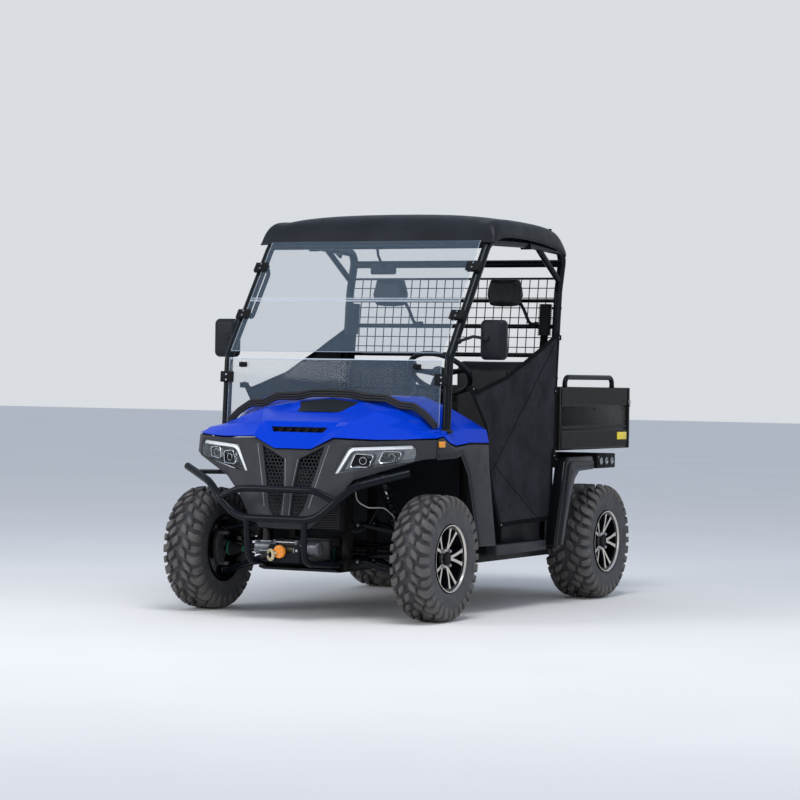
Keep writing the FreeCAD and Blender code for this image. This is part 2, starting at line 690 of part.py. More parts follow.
def rear_screen():
    low_z, high_z, wire = 1343 + 12 + 2 * S.running_gap, 1762, 5
    side_x = cage_x - pillar_radius - S.running_gap
    wires = [bar((-side_x, hoop_y(high_z), high_z), (side_x, hoop_y(high_z), high_z), 12, 12)]
    for column in range(-11, 12):
        x = column * 52
        for low, high in ((low_z, 1500 - 12 - 2 * S.running_gap), (1500 + 12 + 2 * S.running_gap, high_z - 6 - S.running_gap)):
            wires.append(bar((x, hoop_y(low), low), (x, hoop_y(high), high), wire, wire, (0, 1, 0)))
    for row in range(7):
        z = low_z + 30 + row * 54
        if abs(z - 1500) < 20:
            continue
        y = hoop_y(z) + wire + S.running_gap
        wires.append(bar((-side_x, y, z), (side_x, y, z), wire, wire))
    return wires


shaped("rear_screen", *rear_screen())


# Roof: one thick moulded lid with a turned-down rim

def roof_rows():
    edge = S.roof_half_width
    # front to back: y, then (x, height) from the middle to the shoulder, and the rim's low edge
    table = [
        (-434, ((0, 1917), (350, 1917), (600, 1914), (edge - 10, 1913)), 1912),
        (-392, ((0, 2046), (350, 2042), (600, 2022), (edge - 10, 2008)), 1930),
        (-320, ((0, 2078), (350, 2074), (600, 2046), (edge - 10, 2018)), 1950),
        (0, ((0, 2082), (350, 2079), (600, 2048), (edge - 10, 2022)), 1950),
        (360, ((0, 2066), (350, 2062), (600, 2034), (edge - 10, 2012)), 1912),
        (464, ((0, 1975), (350, 1972), (edge - 22, 1962), (edge - 5, 1888)), 1867),
    ]
    return [[(x, y, z) for x, z in line] + [(edge, y, low)] for y, line, low in table]


def roof():
    """The lid with the bosses that stand on the roof rails."""
    bosses = []
    for y, top in ((-250, 2028), (330, 2016)):
        for side in (1, -1):
            x = side * cage_x
            seat = max(rail_z(y - 22), rail_z(y + 22)) + pillar_radius + S.running_gap
            bosses.append(brick((x - 18, y - 22, seat), (x + 14, y + 22, top)))
    return fused(moulded_skin(roof_rows(), S.skin), *bosses)


shaped("roof", roof())


# Hood: creased panels from the nose back to the cowl, with holes for the pillars

def hood_rows():
    edge = S.hood_half_width
    return [
        # lower lip, up to the V point and out along the lamps
        [(0, -1273, 852), (105, -1273, 852), (227, -1268, 911), (440, -1204, 905), (560, -1145, 909),
         (633, -1097, 914), (edge - 4, -1036, 917)],
        # raised crease
        [(0, -1185, 985), (120, -1182, 985), (249, -1152, 984), (440, -1090, 966), (560, -1045, 953),
         (640, -1017, 944), (edge, -960, 925)],
        # plateau
        [(0, -1000, 1036), (150, -1000, 1036), (330, -1010, 1040), (470, -985, 1000), (585, -955, 962),
         (655, -920, 950), (edge, -885, 890)],
        # under the windscreen's seal
        [(0, -872, 1105.5), (190, -872, 1087.5), (400, -872, 1049.5), (522, -872, 1003.5), (600, -872, 942.5),
         (662, -872, 946), (edge, -820, 876)],
        # cowl
        [(0, -770, 1118), (200, -770, 1118), (425, -770, 1110), (545, -750, 1075), (620, -720, 990),
         (672, -700, 952), (edge, -660, 888)],
        # rear edge
        [(0, -700, 1120), (250, -700, 1120), (440, -699, 1118), (550, -641, 1066), (628, -540, 1000),
         (676, -450, 949), (edge, -448, 884)],
    ]


def hood():
    shell = moulded_skin(hood_rows(), S.skin)
    holes = both_sides(rod((cage_x, S.pillar_base_y, S.pillar_base_z - 40),
                           (cage_x, S.pillar_base_y, S.pillar_base_z + 80), pillar_radius + 13))
    return shell.cut(holes)


shaped("hood", hood())


# Nose: a wrapped plastic wall cut to its outline, with openings for lamps and grilles

nose_plan = {
    # height: (x, y) from the middle out to the corner
    930: [(0, -1252), (180, -1250), (340, -1258), (616, -1112), (645, -1080), (686, -1034)],
    440: [(0, -1350), (180, -1346), (383, -1338), (640, -1182), (668, -1140), (700, -1090)],
}


def nose_wall(setback, wall):
    """The wrapped wall, set back from the outer face and as thick as asked."""
    wires = []
    for z, half in sorted(nose_plan.items()):
        outer = [(-x, y) for x, y in half[:0:-1]] + half
        rim = [Vector(x, y + setback, z) for x, y in outer]
        back = [Vector(x, y + setback + wall, z) for x, y in outer[::-1]]
        wires.append(Part.makePolygon(rim + back + rim[:1]))
    return Part.makeLoft(wires, True, True)


nose_outline = [(0, 845), (104, 845), (226, 902), (440, 895), (633, 904), (690, 906), (690, 815), (645, 808),
                (515, 762), (361, 705), (279, 615), (215, 520), (140, 456), (0, 452)]
lamp_outline = [(243, 727), (318, 868), (600, 882), (618, 862), (622, 836), (614, 800)]
grille_outline = [(44, 800), (180, 868), (126, 655), (98, 545), (60, 500), (27, 500), (27, 655)]


def mirrored_outline(half):
    return half + [(-x, z) for x, z in half[::-1] if x > 0]


def inset(points, gap):
    """The outline drawn in towards its own middle by a gap on every side."""
    wire = Part.makePolygon([Vector(x, 0, z) for x, z in points] + [Vector(points[0][0], 0, points[0][1])])
    shrunk = wire.makeOffset2D(-gap, 2, False, False, True) if gap else wire
    return [(v.X, v.Z) for v in shrunk.OrderedVertexes]


def through(outline):
    return front_slab(outline, -1500, -900)


def fascia():
    wall = nose_wall(0, 7).common(through(mirrored_outline(nose_outline)))
    wall = wall.cut(both_sides(through(lamp_outline), through(grille_outline)))
    post_face = front_y - 130 - S.post_size / 2
    brackets = both_sides(brick((202, -1275, 768), (240, post_face - S.running_gap, 788)))
    return fused(wall, *brackets)


def headlamp():
    return nose_wall(3, 60).common(through(inset(lamp_outline, S.running_gap)))


def grille():
    """A honeycomb screen set in each opening of the nose."""
    sheet_metal = nose_wall(7 + S.running_gap, 7).common(through(inset(grille_outline, -6)))
    cell, web = 17, 5
    pitch = cell * math.sqrt(3) + web
    holes = []
    for row in range(-1, 18):
        for column in range(0, 8):
            x = 40 + (column + 0.5 * (row % 2)) * pitch
            z = 520 + row * pitch * math.sqrt(3) / 2
            centre = Vector(x, 0, z)
            if not inside(grille_outline, x, z, cell * 0.9):
                continue
            ring = [(centre.x + cell * math.sin(math.pi * k / 3), centre.z + cell * math.cos(math.pi * k / 3))
                    for k in range(6)]
            holes.append(through(ring))
    return sheet_metal.cut(holes) if holes else sheet_metal


def inside(outline, x, z, room):
    """Whether a point lies in the outline with room to its edges."""
    face = flat([(px, 0, pz) for px, pz in outline])
    point = Part.Vertex(x, 0, z)
    return face.distToShape(point)[0] < 1e-6 and face.OuterWire.distToShape(point)[0] > room


shaped("fascia", fascia())
shaped("headlamps", *both_sides(headlamp()))
shaped("grille", *both_sides(grille()))


# Side panels: the wheel arch band and the tall panel in front of the cabin

def side_panel():
    """The tall panel; its top edge follows the hood's."""
    top = [(y, z - 10) for _, y, z in (row[-1] for row in hood_rows()[1:])]
    outline = [(-1024, 905), (-985, 914)] + top + [
        (-432, 743), (-346, 348), (-560, 354), (-596, 477), (-681, 724), (-761, 822), (-812, 812), (-1024, 806)]
    outer = S.hood_half_width - 1
    face = side_slab(outline, outer - S.skin, outer)
    post_side = S.sill_x + S.post_size / 2 + S.running_gap
    ledge = brick((post_side, S.cowl_y - 18, S.floor_z + 50), (outer - S.skin, S.cowl_y + 6, 800))
    return fused(face, ledge)


shaped("side_panels", *both_sides(side_panel()))

marker = block("Marker", ("hood_half_width - 1 + running_gap", "-1018", "868"), ("9", "62", "30"))
node(group("Markers", marker, mirrored(marker)), "side_markers")


# Bumper and winch

def bumper():
    y = S.bumper_y
    half = [(640, -1229, 744), (415, -1380, 675), (332, y + 10, 600), (222, y, 505)]
    loop = half + [(-x, py, z) for x, py, z in half[::-1]]
    top = [(325, y + 10, 604), (212, y + 6, 652), (-212, y + 6, 652), (-325, y + 10, 604)]
    pieces = [tube(loop, S.bumper_radius, 60), tube(top, S.bumper_radius, 60)]
    post_x = S.rail_half_gauge + S.post_size / 2 + S.running_gap
    for side in (1, -1):
        drop = [(side * 165, y, 505), (side * 160, y + 10, 283), (side * 160, y + 110, 283),
                (side * 215, S.frame_front_y - 40, 271), (side * 215, S.frame_front_y - S.running_gap, 271)]
        pieces.append(tube(drop, S.bumper_radius, 50))
        pieces.append(bar((side * 560, -1281, 720), (side * (post_x + 16), front_y - 130, 720), 26, 16))
        low_x, high_x = sorted((side * post_x, side * (post_x + 8)))
        pieces.append(brick((low_x, front_y - 150, 690), (high_x, front_y - 110, 750)))
    return fused(*pieces)


shaped("bumper", bumper())


def winch():
    y, z = -1281, 354
    motor = rod((-190, y, z), (-66, y, z), 37)
    spool = rod((-60, y, z), (60, y, z), 26)
    gears = rod((66, y, z), (180, y, z), 40)
    seat = S.rail_bottom_z + S.post_size + S.running_gap
    plates = [brick((x - 6, y - 50, seat), (x + 6, y + 44, z + 44)) for x in (-62, 62)]
    tie = brick((-62, y + 26, z + 20), (62, y + 40, z + 34))
    bed = brick((-138, y - 52, seat), (138, S.frame_front_y + 30, seat + 8))
    lip = brick((-90, y - 60, seat), (90, y - 50, z + 20))
    slot = brick((-60, y - 70, z - 22), (60, y - 40, z + 6))
    return fused(motor, spool, gears, *plates, tie, bed, lip).cut(slot)


def winch_hook():
    y = -1281 - 60 - S.running_gap
    stop = rod((-20, y, 332), (-20, y - 22, 332), 30)
    eye = revolved_facets([(-7, 16), (-7, 30), (7, 30), (7, 16)], 12, (0, 0, 0))
    eye.rotate(ORIGIN, Vector(0, 0, 1), 70)
    eye.translate(Vector(-66, y - 20, 322))
    link = brick((-46, y - 22, 322), (-30, y - 10, 338))
    return fused(stop, link, eye)


shaped("winch", winch())
shaped("winch_hook", winch_hook())


# Windscreen: three clear panels held on the pillars, with a rubber seal on the hood

slope = math.hypot(brow[1] - knee[1], brow[2] - knee[2])
up_slope = Vector(0, (brow[1] - knee[1]) / slope, (brow[2] - knee[2]) / slope)
off_slope = Vector(0, -up_slope.z, up_slope.y)


def on_slope(x, run, stand_off):
    """A point over the sloping pillars: run is measured up from the knee."""
    return Vector(x, knee[1], knee[2]) + up_slope * run + off_slope * stand_off


seal_line = [(0, 1121), (120, 1118), (190, 1103), (320, 1099), (400, 1066), (480, 1060), (550, 1016), (604, 964)]
lean = (knee[1] - S.pillar_base_y) / (knee[2] - S.pillar_base_z)


def on_lower(x, z, stand_off):
    """A point of the lower panel's plane, ahead of the pillars' lower run."""
    return Vector(x, S.pillar_base_y + lean * (z - S.pillar_base_z) - stand_off, z)


def glass_panels():
    reach, stand = S.glass_half_width, S.glass_stand_off
    low = [(x, z + S.seal_thickness / 2 + S.running_gap) for x, z in seal_line]
    outline = low + [(reach, 966), (reach, S.pillar_knee_z - 6)]
    corners = [on_lower(x, z, stand) for x, z in mirrored_outline(outline)]
    panels = [slab(corners, (0, S.glass_thickness, 0))]
    for start, end in ((12, 340), (352, slope - 20)):
        corners = [on_slope(x, run, stand) for x, run in
                   ((-reach, start), (reach, start), (reach, end), (-reach, end))]
        panels.append(slab(corners, off_slope * -S.glass_thickness))
    return panels


shaped("windscreen", *glass_panels())


def seal():
    """The ribbed rubber strip between the hood and the lower panel."""
    half = S.seal_thickness / 2
    outer = [(x, z + half) for x, z in seal_line] + [(612, 955)]
    inner = [(x, z - half) for x, z in seal_line[:-1]] + [(596, 953), (606, 947)]
    right = slab([on_lower(x, z, S.glass_stand_off + 9) for x, z in outer + inner[::-1]],
                 (0, S.glass_thickness + 18, 0))
    return fused(right, other_side(right))


shaped("windscreen_seal", seal())


def clamp(at, up, off):
    """A rubber-lined clip round a clear panel's edge, seated on the pillar."""
    gap, reach, outer = S.running_gap, S.glass_half_width, cage_x + pillar_radius
    seat, back, front = pillar_radius + gap, S.glass_stand_off - S.glass_thickness - gap, S.glass_stand_off + gap
    profile = [(reach - 24, seat), (outer, seat), (outer, front + 8), (reach - 30, front + 8), (reach - 30, front),
               (reach + gap, front), (reach + gap, back), (reach - 24, back)]
    corners = [at + Vector(x, 0, 0) + off * out - up * 28 for x, out in profile]
    return slab(corners, up * 56)


def clamps():
    up_lower = Vector(0, lean, 1).normalize()
    pieces = [clamp(on_lower(0, 1202, 0), up_lower, Vector(0, -up_lower.z, up_lower.y))]
    for run in (250, 560):
        pieces.append(clamp(on_slope(0, run, 0), up_slope, off_slope))
    return both_sides(*pieces)


shaped("windscreen_clamps", *clamps())


# Mirrors and the grab handle

def side_mirror():
    root = on_slope(cage_x + pillar_radius, 112, 0)
    pad = brick((root.x + S.running_gap, root.y - 20, root.z - 22), (root.x + 12, root.y + 20, root.z + 22))
    head = brick((719, -640, 1308), (859, -590, 1512))
    arm = rod((root.x + 10, root.y, root.z), (760, -606, 1420), 9)
    return fused(head, arm, pad)


shaped("side_mirrors", *both_sides(side_mirror()))


def centre_mirror():
    head = brick((-75, -345, 1755), (75, -323, 1817))
    header_low = S.roof_rail_z - 26 - (pillar_radius - 4) - S.running_gap
    stalk = bar((0, S.pillar_top_y - 8, header_low - 8), (0, -334, 1812), 16, 12)
    pad = brick((-20, S.pillar_top_y - 24, header_low - 12), (20, S.pillar_top_y + 8, header_low))
    return fused(head, stalk, pad)


shaped("centre_mirror", centre_mirror())


def grab_handle():
    """A bent bar on the passenger's pillar."""
    ends = [on_slope(-(cage_x - pillar_radius - S.running_gap), run, 0) for run in (610, 290)]
    inner = [end + Vector(44, 0, 0) for end in ends]
    return tube([ends[0], inner[0], inner[1], ends[1]], 12, 26, 8, 2)


shaped("grab_handle", grab_handle())


# Cabin

dash_low = S.cowl_z + S.running_gap
dash_profile = [(-690, 1040), (-560, 1040), (-505, 985), (-515, dash_low), (-640, dash_low)]
dash_top_profile = [(-690, 1035), (-690, 1104), (-575, 1098), (-552, 1035)]
column = Vector(0, math.sin(math.radians(S.column_rake)), math.cos(math.radians(S.column_rake)))
wheel_at = Vector(S.wheel_centre_x, S.wheel_centre_y, S.wheel_centre_z)
column_top = wheel_at - column * (40 + S.running_gap)
column_low = wheel_at - column * 345
column_radius = 24


def dash():
    """The dash with its raised middle and the hole that the column passes through."""
    block_shape = fused(side_slab(dash_profile, -560, 560), side_slab(dash_top_profile, -420, 420))
    return block_shape.cut(rod(column_top, column_low - column * 60, column_radius + S.running_gap))


shaped("dash", dash())


def steering_wheel():
    """A faceted ring with three spokes on its hub, turned to the column's rake."""
    ring_faces, small, large = [], 6, 20
    radius, tube_radius = S.wheel_radius, S.wheel_rim_radius

    def at(i, j):
        a, b = 2 * math.pi * i / large, 2 * math.pi * j / small
        reach = radius + tube_radius * math.cos(b)
        return Vector(reach * math.cos(a), reach * math.sin(a), tube_radius * math.sin(b))

    for i in range(large):
        for j in range(small):
            ring_faces += triangles(at(i, j), at(i + 1, j), at(i + 1, j + 1), at(i, j + 1), True)
    pieces = [closed(ring_faces), rod((0, 0, -40), (0, 0, 4), 42)]
    for angle in (-10, 190, 90):
        reach = Vector(math.cos(math.radians(angle)), math.sin(math.radians(angle)), 0)
        pieces.append(bar(reach * 30 + Vector(0, 0, -12), reach * (radius - 4), 34, 9))
    wheel = fused(*pieces)
    wheel.rotate(ORIGIN, ACROSS, -S.column_rake)
    wheel.translate(wheel_at)
    return wheel


shaped("steering_wheel", steering_wheel())
rack_y = front_y + arm_end_y
rack_z = axle_z + 27 + S.swing_gap + 14


def steering_column():
    """The column's tube, and the housing that the rack slides in."""
    column_tube = rod(column_top, column_low, column_radius)
    beam_face = front_y + 130 - S.post_size / 2 - S.running_gap
    housing = brick((-60, rack_y - 20, rack_z - 24), (60, beam_face, rack_z + 20))
    bore = rod((-61, rack_y, rack_z), (61, rack_y, rack_z), 10 + S.running_gap)
    return column_tube, housing.cut(bore)


shaped("steering_column", *steering_column())


def steering_rack():
    eye_x = S.kingpin_x - 30
    bar_rod = rod((-eye_x, rack_y, rack_z), (eye_x, rack_y, rack_z), 10)
    eyes = [rod((side * eye_x, rack_y, rack_z - 14), (side * eye_x, rack_y, rack_z + 14), 17) for side in (1, -1)]
    return fused(bar_rod, *eyes)


shaped("steering_rack", steering_rack())

seat_box = block("SeatBox", ("-seat_box_half_width", "seat_front_y + 30", "floor_z + skin + 2 * running_gap"),
                 ("2 * seat_box_half_width", "seat_box_rear_y - seat_front_y - 30",
                  "seat_top_z - cushion_height - floor_z - skin - 3 * running_gap"))
node(seat_box, "seat_box")


def seat_pair(name, at, size):
    left = block(name, at, size)
    return node(group(name + "s", left, mirrored(left)), re.sub(r"(?<!^)([A-Z])", r"_\1", name).lower() + "s")


seat_pair("SeatCushion", ("seat_centre_x - seat_width / 2", "seat_front_y", "seat_top_z - cushion_height"),
          ("seat_width", "seat_depth", "cushion_height"))


def seat_back():
    low, high = S.seat_top_z + S.running_gap, S.seat_top_z + S.back_height
    rear_low = S.seat_front_y + S.seat_depth
    half = S.seat_width / 2
    lean = 22
    outline = [(rear_low - S.back_thickness - lean, low), (rear_low - lean, low), (rear_low, high),
               (rear_low - S.back_thickness + 25, high), (rear_low - S.back_thickness - 10, high - 60)]
    return side_slab(outline, S.seat_centre_x - half, S.seat_centre_x + half)


shaped("seat_backs", *both_sides(seat_back()))

headrest = block("Headrest", ("seat_centre_x - 95", "rear_hoop_y - 41", "1606"), ("215", "70", "156"))
node(group("Headrests", headrest, mirrored(headrest)), "headrests")


def belt_cover():
    """The cover of a belt's reel, ahead of the low bars of the hoop."""
    low, high, ahead = 1450, 1622, 12.8 + S.running_gap
    outline = [(hoop_y(low) - ahead - 50, low), (hoop_y(low) - ahead, low), (hoop_y(high) - ahead, high),
               (hoop_y(high) - ahead - 50, high)]
    return side_slab(outline, cage_x - pillar_radius - 58, cage_x - pillar_radius - S.running_gap)


shaped("belt_covers", *both_sides(belt_cover()))

lever = block("GearLever", ("60", "-470", "floor_z + skin + 2 * running_gap"), ("20", "20", "660"))
knob = block("GearKnob", ("48", "-482", "floor_z + skin + 650"), ("44", "44", "60"))
node(joined("LeverJoin", lever, knob), "gear_lever")


# Side nets

def net():
    x = cage_x + pillar_radius + S.running_gap
    outline = [(-642, 1179), (-560, 1150), (-190, 1235), (165, 1365), (hoop_y(1480), 1480),
               (hoop_y(1185), 1185), (S.rear_hoop_y - 2, 840),
               (S.rear_hoop_y - 34, 815), (S.rear_hoop_y - 34, 700), (381, 452), (-266, 441),
               (-400, 700), (-443, 953)]
    return side_slab(outline, x, x + 3)


shaped("side_nets", *both_sides(net()))


# Power unit

node(block("Engine", ("-engine_width / 2", "engine_front_y", "rail_bottom_z + rail_size + running_gap"),
           ("engine_width", "engine_length", "engine_height")), "engine")


def muffler():
    """A can across the tail, hung from the bed's cross member by two straps."""
    y, half = rear_y + S.muffler_setback, S.muffler_length / 2
    can = rod((-half, y, S.muffler_z), (half, y, S.muffler_z), S.muffler_radius, 16)
    strap_top = S.bed_rail_top_z - S.post_size - S.running_gap
    straps = [brick((x - 10, y - 12, S.muffler_z + S.muffler_radius - 10), (x + 10, y + 12, strap_top))
              for x in (-110, 110)]
    return fused(can, *straps)


shaped("muffler", muffler())
node(block("Radiator", ("-rail_half_gauge - 10", "front_axle_y - 130 - post_size / 2 - 45 - running_gap", "440"),
           ("2 * rail_half_gauge + 20", "45", "310")), "radiator")


# Rear fenders

def rear_fender():
    """A mudguard band with its outer face, bolted to the end of the seat beam."""
    low_x, high_x = cage_x + pillar_radius + 12, 745
    outer = [(748, 788), (440, 788), (398, 762), (345, 560), (278, 322), (333, 322), (405, 540), (455, 690),
             (500, 735), (748, 745)]
    inner = [(753, 783), (442, 783), (402, 758), (350, 560), (285, 327), (320, 317), (753, 317)]
    shell = side_slab(outer, low_x, high_x).cut(side_slab(inner, low_x - 5, high_x - 5))
    beam_end = cage_x + pillar_radius + 8 + S.running_gap
    tab = brick((beam_end, S.seat_beam_y - 18, 745), (low_x + 20, S.seat_beam_y + 18, 772))
    return fused(shell, tab)


shaped("rear_fenders", *both_sides(rear_fender()))


# Cargo bed, tailgate and rails

bed_outer = block("BedOuter", ("-bed_half_width", "bed_front_y", "bed_bottom_z"),
                  ("2 * bed_half_width", "bed_rear_y - bed_front_y", "bed_top_z - bed_bottom_z"))
bed_hollow = block("BedHollow", ("-bed_half_width + bed_wall", "bed_front_y + bed_wall", "bed_bottom_z + bed_wall"),
                   ("2 * bed_half_width - 2 * bed_wall", "bed_rear_y - bed_front_y",
                    "bed_top_z - bed_bottom_z"))
bed_shell = cut("BedCut", bed_outer, bed_hollow)
hinge_lug = block("HingeLug", ("rail_half_gauge - 20", "bed_hinge_y - 9", "bed_rail_top_z + bed_hinge_rise"),
                  ("40", "18", "bed_bottom_z - bed_rail_top_z - bed_hinge_rise + 5"))
hinge_roll = roller("HingeRoll", ("rail_half_gauge - 20", "bed_hinge_y", "bed_rail_top_z + bed_hinge_rise"),
                    "bed_hinge_rise - running_gap", "40")
front_pad = block("FrontPad", ("rail_half_gauge - 15", "bed_front_y + 45", "bed_rail_top_z + running_gap"),
                  ("30", "40", "bed_bottom_z - bed_rail_top_z + 5"))
carriers = [hinge_lug, hinge_roll, front_pad]
node(joined("BedJoin", bed_shell, *carriers, *[mirrored(piece) for piece in carriers]), "cargo_bed")

gate = block("Gate", ("-bed_half_width + bed_wall + gate_gap", "bed_rear_y - bed_wall",
                      "bed_bottom_z + bed_wall + 2 * gate_gap"),
             ("2 * bed_half_width - 2 * bed_wall - 2 * gate_gap", "bed_wall",
              "bed_top_z - bed_bottom_z - bed_wall - 2 * gate_gap"))
gate_pin = roller("GatePin", ("-bed_half_width + bed_wall + running_gap", "bed_rear_y - bed_wall / 2",
                               "bed_bottom_z + 3 * bed_wall / 2 + 2 * gate_gap"),
                  "gate_pin_radius", "2 * bed_half_width - 2 * bed_wall - 2 * running_gap")
node(joined("GateJoin", gate, gate_pin), "tailgate")


def bed_rail():
    x = S.bed_half_width - S.bed_wall / 2
    base = S.bed_top_z + S.running_gap
    path = [(x, 560, base), (x, 560, S.grab_rail_top_z - S.grab_rail_radius),
            (x, 1215, S.grab_rail_top_z - S.grab_rail_radius), (x, 1215, base)]
    return tube(path, S.grab_rail_radius, 35)


shaped("bed_rails", *both_sides(bed_rail()))

latch = block("Latch", ("bed_half_width - bed_wall / 2 - 12", "bed_rear_y + running_gap", "bed_top_z - 110"),
              ("30", "latch_reach - running_gap", "60"))
node(group("Latches", latch, mirrored(latch)), "gate_latches")


# Hitch receiver

receiver = block("Receiver", ("-receiver_bore / 2 - receiver_wall", "frame_rear_y - 50",
                              "hitch_beam_z - running_gap - receiver_bore - 2 * receiver_wall"),
                 ("receiver_bore + 2 * receiver_wall", "receiver_length", "receiver_bore + 2 * receiver_wall"))
receiver_hole = block("ReceiverHole", ("-receiver_bore / 2", "frame_rear_y - receiver_length",
                                       "hitch_beam_z - running_gap - receiver_bore - receiver_wall"),
                      ("receiver_bore", "2 * receiver_length", "receiver_bore"))
pin_hole = cross_drum("PinHole", ("-receiver_bore", "frame_rear_y - 50 + receiver_length - receiver_pin_setback",
                                  "hitch_beam_z - running_gap - receiver_bore / 2 - receiver_wall"),
                      "receiver_pin_radius", "2 * receiver_bore")
node(cut("ReceiverCut", receiver, joined("ReceiverHoles", receiver_hole, pin_hole)), "hitch_receiver")


# Every object is checked before the sub-parts are written

doc.recompute()
for obj in doc.Objects:
    if {"Invalid", "Error"} & set(obj.State):
        raise RuntimeError(f"{obj.Name} failed: {obj.State}")
for obj in NODES:
    if obj.Shape.isNull() or not obj.Shape.isValid():
        raise RuntimeError(f"{obj.Label} has no valid shape")

os.makedirs("parts", exist_ok=True)
for obj in NODES:
    obj.Shape.exportStep(f"parts/{obj.Label}.step")
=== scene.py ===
import bpy
import bmesh
import math
from mathutils import Matrix, Vector
from mathutils.bvhtree import BVHTree


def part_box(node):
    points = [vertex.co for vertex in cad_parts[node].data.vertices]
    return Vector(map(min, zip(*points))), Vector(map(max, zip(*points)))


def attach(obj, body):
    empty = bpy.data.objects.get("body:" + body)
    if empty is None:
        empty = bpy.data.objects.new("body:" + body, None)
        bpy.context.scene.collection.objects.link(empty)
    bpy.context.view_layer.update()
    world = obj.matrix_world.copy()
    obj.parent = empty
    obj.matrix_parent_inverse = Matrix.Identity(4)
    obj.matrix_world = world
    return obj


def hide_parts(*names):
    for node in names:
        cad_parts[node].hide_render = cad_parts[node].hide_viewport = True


# Side by side utility vehicle in metres: +Z up, -Y the nose, +X the driver's side. ROOT is the body that
# carries everything that doesn't move by itself.

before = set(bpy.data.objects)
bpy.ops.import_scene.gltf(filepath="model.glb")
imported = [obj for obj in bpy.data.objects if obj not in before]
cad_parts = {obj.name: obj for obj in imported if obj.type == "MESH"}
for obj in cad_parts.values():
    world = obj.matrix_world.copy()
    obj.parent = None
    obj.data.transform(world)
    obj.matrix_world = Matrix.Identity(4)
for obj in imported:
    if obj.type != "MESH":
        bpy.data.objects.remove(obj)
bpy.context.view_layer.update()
ROOT = "frame"


# Camera: a long lens about 1.2 m up at the front left. Its place, turn and lens were solved from the
# tyres' contacts with the ground, the pillars and the hood's edges in the photograph.

YAW, PITCH, ROLL = 0.484035, 0.009634, 0.014622
look = Vector((-math.sin(YAW) * math.cos(PITCH), math.cos(YAW) * math.cos(PITCH), -math.sin(PITCH)))
level = Vector((math.cos(YAW), math.sin(YAW), 0))
above = level.cross(look)
right = level * math.cos(ROLL) + above * math.sin(ROLL)
up = above * math.cos(ROLL) - level * math.sin(ROLL)
camera = bpy.data.objects.new("camera", bpy.data.cameras.new("camera"))
camera.matrix_world = Matrix((right, up, -look)).transposed().to_4x4()
camera.location = (6.917, -13.281, 1.234)
camera.data.lens = 124.84
camera.data.sensor_width = 36
camera.data.clip_end = 200
bpy.context.scene.collection.objects.link(camera)
bpy.context.scene.camera = camera


# Light: a pale horizon under a bluer zenith, one broad lamp high in front, one from the camera's left and
# a low fill, at a level where a colour renders about as it is written.

bpy.context.scene.view_settings.view_transform = "Standard"
world = bpy.data.worlds.new("studio")
bpy.context.scene.world = world
world.use_nodes = True
direction = world.node_tree.nodes.new("ShaderNodeTexCoord").outputs["Generated"]
split = world.node_tree.nodes.new("ShaderNodeSeparateXYZ")
sky = world.node_tree.nodes.new("ShaderNodeValToRGB")
world.node_tree.links.new(direction, split.inputs["Vector"])
world.node_tree.links.new(split.outputs["Z"], sky.inputs["Fac"])
world.node_tree.links.new(sky.outputs["Color"], world.node_tree.nodes["Background"].inputs["Color"])
for stop, height, tint in ((0, 0.13, (0.70, 0.725, 0.755, 1)), (1, 0.50, (0.47, 0.54, 0.67, 1))):
    sky.color_ramp.elements[stop].position = height
    sky.color_ramp.elements[stop].color = tint
for lamp_name, place, aim, size, power in (
        ("overhead", (1.8, -2.8, 7.2), (0, 0, 0.6), 3.2, 260),
        ("window", (-6.0, -8.0, 4.0), (0, -0.6, 0.9), 4.0, 300),
        ("fill", (8.0, -4.0, 2.5), (0, 0, 0.8), 4.0, 50)):
    lamp = bpy.data.objects.new(lamp_name, bpy.data.lights.new(lamp_name, "AREA"))
    lamp.data.size = size
    lamp.data.energy = power
    lamp.location = place
    lamp.rotation_euler = (Vector(aim) - Vector(place)).to_track_quat("-Z", "Y").to_euler()
    bpy.context.scene.collection.objects.link(lamp)


# Floor: one pale painted sheet, wide enough that its edge stays out of sight. The colour, roughness and
# bump of every finish vary by noise in the piece's own coordinates.

